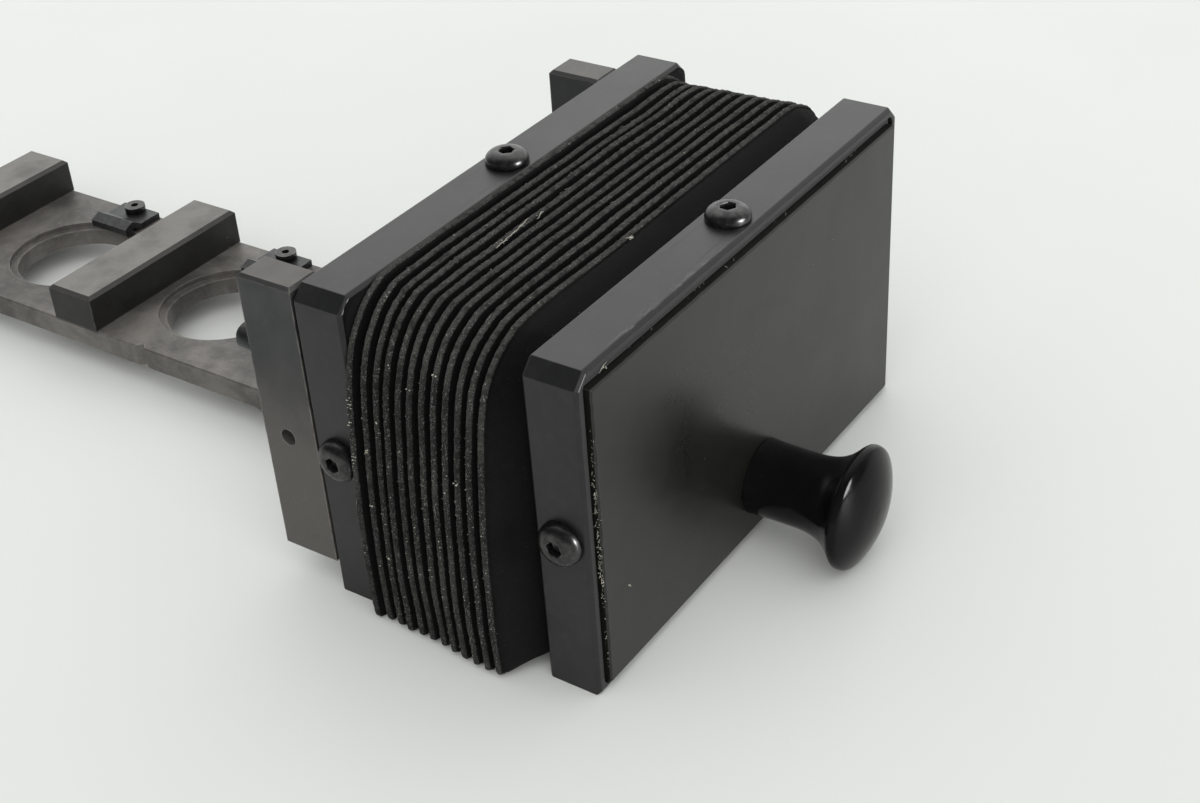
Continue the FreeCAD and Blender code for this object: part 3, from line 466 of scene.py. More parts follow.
def bellows_material():
    """Coated black cloth with a napped face; the cut edges of the folds are rubbed to a
    speckled grey, with painted light that makes them lighter where they face up."""
    mat = Mat("bellows_cloth", rest="rest_mm")
    edge = mat.add("Attribute", attribute_name="fold_edge").outputs["Fac"]
    fibres = mat.noise(scale=4.2, rough=0.72, distortion=0.8)
    fine = mat.noise(scale=11.0, detail=3, rough=0.7)
    mottle = mat.noise(scale=0.9, rough=0.65)

    # napped face
    mat.color = mat.mix(mat.ramp(fine, low=0.4, high=0.75),
                        (0.0024, 0.0024, 0.0025), (0.0070, 0.0069, 0.0067))
    mat.paint(mat.ramp(mottle, low=0.5, high=0.8), (0.012, 0.0118, 0.0113), amount=0.25)
    dust = mat.larger(mat.times(mat.specks(cells=1.5, size=0.05, share=0.16), 0.5),
                      mat.times(mat.specks(cells=0.7, size=0.08, share=0.14), 0.8))
    mat.paint(dust, (0.30, 0.29, 0.26), amount=0.55)
    face = mat.color

    # rubbed cut edge, with painted light on its upward faces
    grit = mat.noise(scale=4.6, detail=2)
    mat.color = mat.mix(mat.ramp(fibres, low=0.34, high=0.72),
                        (0.0070, 0.0070, 0.0072), (0.037, 0.0368, 0.0362))
    # painted light: cut edges lighter where they face up, as if lit from above
    mat.paint(mat.ramp(mat.normal_z(), low=0.15, high=0.8, end=0.5), (0.070, 0.069, 0.066))
    mat.paint(mat.ramp(grit, low=0.58, high=0.66), (0.18, 0.178, 0.170),
              amount=mat.patches(scale=0.16, low=0.40, high=0.62, start=0.35))
    mat.paint(mat.patches(scale=7.5, detail=2, rough=0.5, low=0.60, high=0.70),
              (0.23, 0.226, 0.214), amount=0.55)
    mat.paint(mat.ramp(mottle, low=0.34, high=0.54, start=0.8, end=0.0),
              (0.011, 0.0109, 0.0105))
    mat.paint(mat.patches(scale=0.10, detail=3, low=0.46, high=0.70, end=0.22),
              (0.10, 0.098, 0.093))
    bright = mat.times(mat.larger(mat.specks(cells=1.6, size=0.11, share=0.12),
                                  mat.specks(cells=3.1, size=0.06, share=0.13)),
                       mat.ramp(mottle, low=0.40, high=0.58))
    mat.paint(bright, (0.50, 0.48, 0.43), amount=0.85)

    # the fibres fray the border between the two
    border = mat.plus(edge, mat.math("SUBTRACT", fibres, 0.5), amount=0.5)
    mat.color = mat.mix(mat.ramp(border, low=0.42, high=0.62), face, mat.color)
    mat.bump(fibres, strength=0.8, depth=0.12)
    mat.bump(grit, strength=0.7, depth=0.08)
    mat.bump(fine, strength=0.5, depth=0.03)
    return mat.finish(rough=0.94, spec=0.12, sheen=0.02, sheen_rough=0.6)


def lint_material(name, dark, light):
    mat = Mat(name)
    mat.color = mat.mix(mat.patches(scale=1.2, detail=3, low=0.35, high=0.65), dark, light)
    mat.bump(mat.noise(scale=9.0, detail=3, rough=0.55), strength=0.4, depth=0.02)
    return mat.finish(rough=0.95, spec=0.2)


FRAME_METAL = anodised("anodised_frame", dark=(0.0075, 0.0076, 0.0080),
                       light=(0.0125, 0.0125, 0.0128), rough=0.36, wear=0.35,
                       streaks=front_top_streaks)
GUIDE_METAL = anodised("anodised_guide", dark=(0.012, 0.012, 0.012),
                       light=(0.020, 0.020, 0.019), rough=0.46, wear=0.4)
PANEL = panel_material()
BRACKET_METAL = worn_metal("worn_bracket", dark=(0.024, 0.0245, 0.027),
                           light=(0.040, 0.040, 0.042), rough=0.44, metal=0.30, along="Z",
                           edge_color=(0.30, 0.275, 0.25), wear=0.75, patch_scale=0.07,
                           lit_top_color=(0.085, 0.079, 0.074), low_color=(0.100, 0.091, 0.083))
STRIP_METAL = worn_metal("worn_strip", dark=(0.080, 0.075, 0.070),
                         light=(0.185, 0.173, 0.160), rough=0.48, metal=0.40,
                         edge_color=(0.42, 0.40, 0.36), wear=0.6, patch_scale=0.085)
BAR_METAL = worn_metal("worn_bar", dark=(0.013, 0.0125, 0.0120),
                       light=(0.022, 0.0212, 0.0205), rough=0.50, metal=0.25, along="X",
                       edge_color=(0.22, 0.21, 0.195), wear=0.4, patch_scale=0.12,
                       lit_top_color=(0.185, 0.175, 0.162))
FOOT_METAL = worn_metal("foot_metal", dark=(0.05, 0.048, 0.046), light=(0.10, 0.096, 0.09),
                        rough=0.46, metal=0.4, edge_color=(0.40, 0.38, 0.35), wear=0.7)
KNOB_GLOSS = knob_material()
SCREW_BLACK = screw_material("black_oxide_screw", dark=(0.036, 0.036, 0.037),
                             light=(0.075, 0.074, 0.073), rough=0.26, metal=0.85)
STEEL = screw_material("plain_steel", dark=(0.30, 0.295, 0.29),
                       light=(0.42, 0.415, 0.40), rough=0.32, metal=1.0)
SPRING_STEEL = screw_material("spring_steel", dark=(0.13, 0.125, 0.12),
                              light=(0.22, 0.21, 0.20), rough=0.38, metal=0.9)
PIN_METAL = screw_material("dark_pin", dark=(0.035, 0.035, 0.037),
                           light=(0.06, 0.06, 0.062), rough=0.38, metal=0.7)
CUFF_CLOTH = cloth_material("black_cloth", dark=(0.006, 0.006, 0.006),
                            light=(0.020, 0.0195, 0.019), thread=0.34)
FELT = cloth_material("black_felt", dark=(0.008, 0.008, 0.008),
                      light=(0.022, 0.0215, 0.021), thread=0.6)
IVORY = plastic_material()
BELLOWS_CLOTH = bellows_material()
PALE_LINT = lint_material("pale_lint", dark=(0.34, 0.32, 0.27), light=(0.66, 0.64, 0.56))
GREY_LINT = lint_material("grey_lint", dark=(0.10, 0.098, 0.09), light=(0.34, 0.33, 0.30))


# ------------------------------------------------------------------ CAD nodes that keep their shape
# material, bevel width in mm (0 for none), nodes
DRESSING = (
    (FRAME_METAL, 0.14, ("front_collar", "rear_collar")),
    (PANEL, 0.12, ("end_panel",)),
    (GUIDE_METAL, 0.10, ("rear_guide_plate",)),
    (CUFF_CLOTH, 0, ("front_cuff", "rear_cuff")),
    (BRACKET_METAL, 0.16, ("mount_bracket",)),
    (STRIP_METAL, 0.12, ("slide_strip",)),
    (BAR_METAL, 0.12, ("cross_bar_front", "cross_bar_rear")),
    (PIN_METAL, 0.08, ("clip_front", "clip_rear")),
    (FOOT_METAL, 0.12, ("strip_foot",)),
    (IVORY, 0, ("liner_lower", "liner_upper", "drag_pad")),
    (FELT, 0, ("seal_lower", "seal_upper")),
    (SCREW_BLACK, 0.06, ("bracket_screws", "foot_screws", "drag_setscrew", "clip_screws")),
    (STEEL, 0.06, ("bar_screws", "stop_pins", "foot_dowels", "knob_stud")),
    (PIN_METAL, 0.05, ("locating_pins",)),
    (SPRING_STEEL, 0, ("drag_spring",)),
)


def dress_node(name, material, bevel_width):
    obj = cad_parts[name]
    obj.data.materials.clear()
    obj.data.materials.append(material)
    if bevel_width > 0:
        weld = obj.modifiers.new("weld", "WELD")
        weld.merge_threshold = 2e-6
        bevel = obj.modifiers.new("edge", "BEVEL")
        bevel.width = bevel_width * MM
        bevel.segments = 2
        bevel.limit_method = "ANGLE"
        bevel.angle_limit = math.radians(35)
        bevel.harden_normals = True
        bevel.use_clamp_overlap = True


for node_material, node_bevel, node_names in DRESSING:
    for node_name in node_names:
        dress_node(node_name, node_material, node_bevel)


# ------------------------------------------------------------------ button-head screws
HEAD_RADIUS = 3.20
HEAD_HEIGHT = 1.85
SIDE_SEAT_X = 42.0       # seats of the side screws, left and right


def button_screw_mesh():
    """Screw with a hexagon socket: local +Z points out of the work, seat at z 0."""
    angles = [2 * math.pi * k / 72 for k in range(72)]

    def circle(radius, z):
        return [(radius * math.cos(a), radius * math.sin(a), z) for a in angles]

    def hexagon(corner_radius, z):
        points = []
        for a in angles:
            off_flat = a % (math.pi / 3) - math.pi / 6
            radius = corner_radius * math.cos(math.pi / 6) / math.cos(off_flat)
            points.append((radius * math.cos(a), radius * math.sin(a), z))
        return points

    # (radius, z): shank, then the rim of the head
    rings = [circle(radius, z) for radius, z in (
        (1.75, -8.0), (1.75, -0.02), (HEAD_RADIUS - 0.18, 0.0), (HEAD_RADIUS - 0.05, 0.04),
        (HEAD_RADIUS, 0.14), (HEAD_RADIUS, 0.34))]
    # dome: part of an ellipse from the rim in to the flat top
    rim_radius, rim_z, flat_radius = HEAD_RADIUS - 0.02, 0.44, 1.62
    sweep = math.pi / 2 * 0.93
    for k in range(1, 15):
        a = k / 14.0 * sweep
        inward = (1 - math.cos(a)) / (1 - math.cos(sweep))
        rise = math.sin(a) / math.sin(sweep)
        rings.append(circle(rim_radius - (rim_radius - flat_radius) * inward,
                            rim_z + (HEAD_HEIGHT - rim_z) * rise))
    rings.append(circle(1.46, HEAD_HEIGHT + 0.01))
    # socket: corner radius, depth below the top
    for radius, depth in ((1.26, 0.0), (1.20, 0.06), (1.155, 0.14), (1.155, 1.2), (1.02, 1.26)):
        rings.append(hexagon(radius, HEAD_HEIGHT - depth))
    rings.append(circle(0.3, HEAD_HEIGHT - 1.55))
    return rings_to_mesh(rings)


def frame_screws(name, node, body, spins):
    """Left, right and top screws of a frame, each with its own spin in radians."""
    low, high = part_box(node)
    y = (low.y + high.y) / 2 / MM
    z = low.z / MM + HEAD_RADIUS
    seats = (((-1, 0, 0), (-SIDE_SEAT_X, y, z)),
             ((1, 0, 0), (SIDE_SEAT_X, y, z)),
             ((0, 0, 1), (0, y, FRAME_TOP)))
    verts, faces = button_screw_mesh()
    parts = [(place(verts, axis, origin, spin), faces)
             for (axis, origin), spin in zip(seats, spins)]
    obj = mesh_object(name, *join_parts(parts), SCREW_BLACK)
    sharpen(obj, 40)
    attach(obj, body)
    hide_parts(node)


frame_screws("front_frame_button_screws", "front_collar_screws", CARRIAGE, (0.35, 0.1, 0.52))
frame_screws("rear_frame_button_screws", "rear_collar_screws", REAR, (0.15, 0.4, 0.2))


# ------------------------------------------------------------------ pull knob
def pull_knob():
    """Turned about an axis along Y; the profile runs from its rear end to the front."""
    low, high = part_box("pull_knob")
    axis_z = (low.z + high.z) / 2 / MM
    rear_y = high.y / MM
    length = (high.y - low.y) / MM
    radius = (high.z - low.z) / 2 / MM
    # (radius, distance forward from the rear end)
    rear_lip = [(5.68, 0.0), (5.74, 0.08), (5.74, 0.2), (5.71, 0.5)]
    neck = [(5.71, 0.5), (5.66, 1.2), (5.61, 2.4), (5.58, 4.4), (5.58, 6.6), (5.62, 8.4),
            (5.84, 10.0), (6.36, 11.6), (7.20, 13.0), (8.20, 14.1), (8.85, 14.72),
            (radius - 0.02, 15.15)]
    cap = [(radius - 0.02, 15.15), (radius, 15.45), (radius - 0.10, 15.85),
           (radius - 0.42, 16.28), (7.55, 17.0), (6.1, 17.62), (4.3, 18.18), (2.3, 18.54),
           (0.6, length - 0.01)]
    profile = rear_lip + spline(neck, 6)[1:] + spline(cap, 6)[1:]
    angles = [2 * math.pi * k / 128 for k in range(128)]
    rings = [[(r * math.cos(a), rear_y - forward, axis_z + r * math.sin(a)) for a in angles]
             for r, forward in profile]
    obj = mesh_object("turned_pull_knob", *rings_to_mesh(rings), KNOB_GLOSS)
    sharpen(obj, 50)
    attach(obj, CARRIAGE)
    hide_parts("pull_knob")


pull_knob()


# ------------------------------------------------------------------ bellows
# Y values of the bellows are measured from MOUNT_Y
FIRST_FOLD_Y, PITCH, FOLD_COUNT = -40.4, 2.0, 12     # folds count from the front
LAST_FOLD = FOLD_COUNT - 1
FRONT_END_Y, REAR_END_Y = -45.70, -17.70
LOWEST_Z = 0.03          # the cloth never goes below this
OUTLINE_POINTS = 520

# right half of each outline, bottom to top: (x, z)
# edge of a fold: stands on a flat base, sides bulge out, round upper corners
FOLD_HALF = (
    (0.0, 0.15), (22.0, 0.15), (43.0, 0.15), (45.1, 0.2), (46.0, 0.6), (46.3, 1.6),
    (46.5, 6.0), (46.6, 12.0), (46.25, 22.0), (45.5, 31.0), (44.7, 37.0), (44.0, 40.6),
    (42.6, 44.2), (40.0, 47.4), (36.9, 49.3), (33.2, 50.15), (20.0, 50.2), (0.0, 50.2))
# sleeve that enters the frames
SLEEVE_HALF = (
    (0.0, 2.7), (20.0, 2.7), (36.0, 2.7), (38.6, 3.4), (39.4, 6.0), (39.4, 12.0),
    (39.4, 24.0), (39.4, 38.0), (38.9, 42.0), (36.8, 45.4), (33.5, 47.2), (28.0, 47.6),
    (14.0, 47.6), (0.0, 47.6))
# flange of cloth lying on the face of the rear frame, covering it in black
FLANGE_HALF = (
    (0.0, 0.55), (20.0, 0.55), (39.0, 0.55), (40.9, 0.75), (41.4, 2.6), (41.4, 12.0),
    (41.4, 25.0), (41.4, 38.0), (41.4, 46.6), (41.1, 48.3), (40.0, 49.3), (38.0, 49.45),
    (20.0, 49.45), (0.0, 49.45))


def closed_outline(right_half):
    """Evenly spaced points round the mirrored outline, their outward normals, their
    distances round it, and its length."""
    half = [(float(x), float(z)) for x, z in spline(right_half, 24)]
    loop = np.array(half + [(-x, z) for x, z in half[::-1]])
    loop = loop[np.r_[True, np.linalg.norm(np.diff(loop, axis=0), axis=1) > 1e-6]]
    closed = np.r_[loop, loop[:1]]
    reach = np.r_[0, np.cumsum(np.linalg.norm(np.diff(closed, axis=0), axis=1))]
    along = np.arange(OUTLINE_POINTS) * reach[-1] / OUTLINE_POINTS
    points = np.c_[np.interp(along, reach, closed[:, 0]), np.interp(along, reach, closed[:, 1])]
    tangents = np.roll(points, -1, axis=0) - np.roll(points, 1, axis=0)
    tangents /= np.linalg.norm(tangents, axis=1)[:, None]
    return points, np.c_[tangents[:, 1], -tangents[:, 0]], along, reach[-1]


OUTLINE, NORMALS, ALONG, PERIMETER = closed_outline(FOLD_HALF)
SLEEVE = closed_outline(SLEEVE_HALF)[0]
FLANGE = closed_outline(FLANGE_HALF)[0]


def narrowing(fold):
    """Factors for (x, z): the folds are a little narrower towards the rear frame."""
    return np.array([1.0 - 0.040 * fold / LAST_FOLD, 1.0])


def fold_weight(fold):
    """Blend weight of a fold: 0.94 for the front fold, 0.04 for the last."""
    return 0.94 - 0.90 * fold / LAST_FOLD


# Unevenness of the folds: (waves round the outline, phase, drift of phase a fold, amplitude)
fold_rng = random.Random(4127)


def draw_phase():
    return fold_rng.uniform(0, 6.283)


SWAY_MODES = [(k, draw_phase(), fold_rng.uniform(-0.5, 0.5), fold_rng.gauss(0, 1) / k ** 0.95)
              for k in range(3, 30)]
SWELL_MODES = [(k, draw_phase(), fold_rng.uniform(-1.2, 1.2), fold_rng.gauss(0, 1) / k ** 0.85)
               for k in range(3, 40)]
OWN_MODES = [[(k, draw_phase(), 0.0, fold_rng.gauss(0, 1) / k ** 0.7) for k in range(5, 60, 3)]
             for _ in range(FOLD_COUNT)]
FINE_MODES = [[(fold_rng.randint(110, 250), draw_phase(), 0.0, fold_rng.gauss(0, 1))
               for _ in range(18)] for _ in range(FOLD_COUNT)]
FOLD_SWELL = [fold_rng.uniform(-0.20, 0.08) for _ in range(FOLD_COUNT)]
FOLD_SHIFT = [fold_rng.uniform(-0.09, 0.09) for _ in range(FOLD_COUNT)]
# the last fold lies against the rear frame
FOLD_SWELL[-1], FOLD_SHIFT[-1] = 0.40, 0.25


def ripple(modes, along, fold=0, phase_scale=1.0):
    turn = 2 * math.pi * along / PERIMETER
    return sum(size * np.sin(k * turn + phase * phase_scale + fold * drift)
               for k, phase, drift, size in modes)


def sway(fold, along):
    """Shift of a fold along Y at distances round the outline."""
    total = (0.11 * ripple(SWAY_MODES, along, fold) + 0.022 * ripple(OWN_MODES[fold], along)
             + 0.0075 * ripple(FINE_MODES[fold], along) + FOLD_SHIFT[fold])
    return total * (1.0 if fold < LAST_FOLD else 0.35)


def swell(fold, along):
    """Shift of a fold outwards at distances round the outline."""
    return (0.09 * ripple(SWELL_MODES, along, fold)
            + 0.026 * ripple(OWN_MODES[fold], along, phase_scale=2.7)
            + 0.0100 * ripple(FINE_MODES[fold], along, phase_scale=1.9) + FOLD_SWELL[fold])


def blend_bellows(obj):
    """Bake obj's transform into its mesh."""
    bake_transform(obj)


# y, share of the way from the sleeve to the fold's outline, blend weight, share of the sway
FRONT_STATIONS = (
    (FRONT_END_Y, 0.0, 1.0, 0.0), (-45.45, 0.16, 0.99, 0.0), (-44.75, 0.33, 0.98, 0.1),
    (-43.85, 0.50, 0.97, 0.3), (-42.85, 0.68, 0.96, 0.5), (-41.90, 0.86, 0.945, 0.8),
    (-41.25, 0.97, fold_weight(0), 1.0))
# y from the fold's centre, depth inside the outline, 1 on the cut edge
EDGE_STATIONS = (
    (-0.50, 0.62, 0.0), (-0.49, 0.36, 0.35), (-0.43, 0.19, 0.75), (-0.30, 0.07, 1.0),
    (-0.12, 0.01, 1.0), (0.08, 0.0, 1.0), (0.26, 0.05, 1.0), (0.41, 0.17, 0.75),
    (0.49, 0.36, 0.35), (0.50, 0.62, 0.0))
# y from the fold's centre, depth, share of the swell, then shares of the next fold in the
# blend weight and in the unevenness
VALLEY_STATIONS = (
    (0.66, 2.3, 0.5, 0.15, 0.15), (0.88, 3.1, 0.3, 0.375, 0.4), (1.00, 3.35, 0.2, 0.5, 0.5),
    (1.12, 3.1, 0.3, 0.625, 0.6), (1.34, 2.3, 0.5, 0.85, 0.85))


def pleated_bellows():
    rings, weights, edges = [], [], []

    def add_ring(xz, y, weight, edge):
        rings.append(np.c_[xz[:, 0], MOUNT_Y + y, np.maximum(xz[:, 1], LOWEST_Z)])
        weights.append(np.full(OUTLINE_POINTS, weight))
        edges.append(np.full(OUTLINE_POINTS, edge))

    def fold_ring(y, depth, fold, weight, edge=0.0, swell_share=1.0, next_share=0.0):
        """A loop at depth inside the outline, its unevenness mixed with the next fold's."""
        shift, outward = sway(fold, ALONG), swell(fold, ALONG)
        if next_share:
            shift = shift * (1 - next_share) + sway(fold + 1, ALONG) * next_share
            outward = outward * (1 - next_share) + swell(fold + 1, ALONG) * next_share
        xz = OUTLINE + NORMALS * (swell_share * outward - depth)[:, None]
        add_ring(xz * narrowing(fold), y + shift, weight, edge)

    def end_ring(y, share, fold, weight, sway_share=0.0, base=SLEEVE):
        """A loop between base (share 0) and the fold's outline (share 1)."""
        xz = base * (1 - share) + (OUTLINE - NORMALS * 0.6) * narrowing(fold) * share
        add_ring(xz, y + sway_share * sway(fold, ALONG), weight, 0.0)

    # out of the front frame, then along the sloping face of the first fold
    for y, share, weight, sway_share in FRONT_STATIONS:
        end_ring(y, share, 0, weight, sway_share)
    for i in range(FOLD_COUNT):
        centre, weight = FIRST_FOLD_Y + PITCH * i, fold_weight(i)
        for y, depth, edge in EDGE_STATIONS:
            fold_ring(centre + y, depth, i, weight, edge)
        fold_ring(centre + 0.50, 1.3, i, weight, swell_share=0.8)
        if i < LAST_FOLD:
            next_weight = fold_weight(i + 1)
            for y, depth, swell_share, weight_share, next_share in VALLEY_STATIONS:
                fold_ring(centre + y, depth, i, weight + (next_weight - weight) * weight_share,
                          swell_share=swell_share, next_share=next_share)
            fold_ring(centre + PITCH - 0.50, 1.3, i + 1, next_weight, swell_share=0.8)
    # flange against the rear frame, then into it
    end_ring(REAR_END_Y - 0.10, 0.35, LAST_FOLD, 0.02, 0.2, FLANGE)
    end_ring(REAR_END_Y - 0.05, 0.0, LAST_FOLD, 0.0, base=FLANGE)
    end_ring(REAR_END_Y, 0.0, LAST_FOLD, 0.0)

    count = OUTLINE_POINTS
    verts = np.vstack(rings)
    faces = []
    for k in range(len(rings) - 1):
        for j in range(count):
            a, b = k * count + j, k * count + (j + 1) % count
            faces.append((a, a + count, b + count, b))
    obj = mesh_object("pleated_bellows", verts, faces, BELLOWS_CLOTH)
    rest = obj.data.attributes.new("rest_mm", "FLOAT_VECTOR", "POINT")
    rest.data.foreach_set("vector", verts.astype(np.float32).ravel())
    fold_edge = obj.data.attributes.new("fold_edge", "FLOAT", "POINT")
    fold_edge.data.foreach_set("value", np.concatenate(edges).astype(np.float32))
    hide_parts("bellows")
    blend_bellows(obj)


pleated_bellows()


# ------------------------------------------------------------------ lint and dust
def fibre(points, radius):
    """Thin five-sided tube through points, finer at both ends."""
    path = [Vector(p) for p in points]
    last = len(path) - 1
    rings = []
    for i, point in enumerate(path):
        tangent = (path[min(i + 1, last)] - path[max(i - 1, 0)]).normalized()
        side = tangent.orthogonal().normalized()
        other = tangent.cross(side)
        size = radius * (0.35 if i in (0, last) else 1.0)
        turns = [2 * math.pi * k / 5 for k in range(5)]
        rings.append([tuple(point + side * math.cos(a) * size + other * math.sin(a) * size)
                      for a in turns])
    return rings_to_mesh(rings)


def crumb(centre, radius, rng):
    """Irregular speck: a bottom point, a ring of five and a top point."""
    x, y, z = centre
    verts = []
    for level, count in ((-0.75, 1), (0.0, 5), (0.8, 1)):
        for j in range(count):
            a = 2 * math.pi * j / count + rng.random()
            reach = radius * rng.uniform(0.6, 1.25)
            if count == 1:
                reach = 0.0
            verts.append((x + reach * math.cos(a), y + reach * math.sin(a), z + level * radius))
    faces = [(0, 1 + (j + 1) % 5, 1 + j) for j in range(5)]
    faces += [(6, 1 + j, 1 + (j + 1) % 5) for j in range(5)]
    return verts, faces


def curl(start, length, lean, rng):
    """Points of a short bent fibre that leaves start along lean."""
    heading = Vector(lean).normalized()
    points = [Vector(start)]
    for _ in range(5):
        bend = Vector((rng.gauss(0, 0.38), rng.gauss(0, 0.38), rng.gauss(0, 0.38)))
        heading = (heading + bend).normalized()
        points.append(points[-1] + heading * (length / 5))
    return points


def jitter(rng, point, x=None, y=None, z=None):
    """point moved at random within the (low, high) span given for an axis."""
    return tuple(c + rng.uniform(*span) if span else c for c, span in zip(point, (x, y, z)))


def edge_point(fold, distance, lift, across=0.0):
    """A point on the cut edge of a fold at a distance round the outline, lifted outwards by
    lift and moved by across along Y."""
    k = int(np.searchsorted(ALONG, distance % PERIMETER, side="right") - 1)
    here = ALONG[k:k + 1]
    shift, outward = float(sway(fold, here)[0]), float(swell(fold, here)[0])
    x, z = (OUTLINE[k] + NORMALS[k] * (outward + lift)) * narrowing(fold)
    return np.array([x, MOUNT_Y + FIRST_FOLD_Y + PITCH * fold + shift + across, z])


class FoldParts:
    """Small parts, each carried by one fold."""

    def __init__(self):
        self.parts, self.weights = [], []

    def add(self, part, fold):
        self.parts.append(part)
        self.weights.extend([fold_weight(fold)] * len(part[0]))

    def add_above_base(self, part, fold):
        if min(v[2] for v in part[0]) > 0.02:
            self.add(part, fold)

    def build(self, name, material):
        obj = mesh_object(name, *join_parts(self.parts), material)
        blend_bellows(obj)


def bellows_dust():
    """Grey crumbs and short threads on the cut edges."""
    rng = random.Random(90210)
    sizes = (0.04, 0.05, 0.05, 0.06, 0.07, 0.09, 0.13)
    dust = FoldParts()
    for _ in range(620):
        fold = min(LAST_FOLD, int(abs(rng.gauss(0, 5.0))))      # more on the front folds
        distance = rng.uniform(0, PERIMETER)
        if rng.random() < 0.5:                                  # more on the left half
            distance = PERIMETER * rng.choice((rng.uniform(0.66, 0.97), rng.gauss(0.74, 0.03)))
        centre = edge_point(fold, distance, rng.uniform(-0.04, 0.02), rng.uniform(-0.4, 0.4))
        dust.add_above_base(crumb(centre, rng.choice(sizes) * rng.uniform(0.8, 1.1), rng), fold)
    for _ in range(70):
        fold = rng.randrange(FOLD_COUNT)
        distance = rng.uniform(0, PERIMETER)
        start = edge_point(fold, distance, 0.03, rng.uniform(-0.35, 0.35))
        end = edge_point(fold, distance + rng.uniform(0.6, 2.2), 0.05, rng.uniform(-0.45, 0.45))
        middle = (start + end) / 2 + np.array([rng.uniform(-0.2, 0.2) for _ in range(3)])
        points = [start, start * 0.6 + middle * 0.4, middle, end * 0.6 + middle * 0.4, end]
        dust.add_above_base(fibre(points, rng.uniform(0.018, 0.032)), fold)
    dust.build("bellows_dust", GREY_LINT)


def seam_fibres():
    """Frayed pale fibres of the cuff where it shows between the front frame and the panel,
    with a few flecks on the panel."""
    rng = random.Random(5531)
    seam_x = -40.2           # left side of the seam
    parts = []
    # fibres down the left side, thicker at two heights
    for _ in range(70):
        z = rng.choice((rng.uniform(14.0, 40.0), rng.gauss(22.0, 2.5), rng.gauss(31.0, 2.0)))
        root = jitter(rng, (seam_x, MOUNT_Y - 54.1, z), x=(-0.12, 0.1), y=(-0.2, 0.1))
        points = curl(root, rng.uniform(0.25, 0.8),
                      (rng.gauss(0, 0.25), -0.25, rng.gauss(0, 1.0)), rng)
        parts.append(fibre(points, rng.uniform(0.014, 0.030)))
    # fibres along the top
    for _ in range(16):
        root = jitter(rng, (0.0, MOUNT_Y - 53.9, 47.95), x=(-39.0, 30.0), z=(-0.25, 0.25))
        points = curl(root, rng.uniform(0.2, 0.6),
                      (rng.gauss(0, 1.0), -0.3, rng.gauss(0, 0.3)), rng)
        parts.append(fibre(points, rng.uniform(0.012, 0.022)))
    # crumbs down the left side
    for _ in range(90):
        z = rng.choice((rng.uniform(4.0, 44.0), rng.gauss(22.0, 3.0)))
        centre = jitter(rng, (seam_x, MOUNT_Y - 54.3, z), x=(-0.1, 0.2), y=(-0.2, 0.2))
        parts.append(crumb(centre, rng.choice((0.03, 0.05, 0.07, 0.10)), rng))
    # single flecks: x, y from the mounting plane, z, size
    for x, y, z, size in ((-39.7, -54.35, 23.0, 0.17), (-39.9, -54.3, 18.2, 0.2),
                          (-34.8, -54.72, 14.1, 0.15), (-36.6, -54.2, 48.6, 0.2),
                          (-36.2, -54.3, 48.4, 0.16)):
        span = (-size, size)
        for _ in range(4):
            centre = jitter(rng, (x, MOUNT_Y + y, z), x=span, y=span, z=span)
            parts.append(crumb(centre, size * rng.uniform(0.5, 0.9), rng))
    # single strands, between two points
    for start, end in (
            ((-37.5, MOUNT_Y - 54.2, 48.3), (-35.6, MOUNT_Y - 54.1, 48.9)),
            ((-34.9, MOUNT_Y - 54.75, 14.3), (-34.4, MOUNT_Y - 54.75, 13.6))):
        middle = tuple((a + b) / 2 + 0.12 for a, b in zip(start, end))
        parts.append(fibre([start, middle, end], 0.05))
    obj = mesh_object("seam_fibres", *join_parts(parts), PALE_LINT)
    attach(obj, CARRIAGE)


def left_side_point(fold, z):
    left = [k for k in range(OUTLINE_POINTS) if NORMALS[k][0] < -0.7]
    nearest = min(left, key=lambda k: abs(OUTLINE[k][1] - z))
    return edge_point(fold, ALONG[nearest] + 1e-6, 0.02)


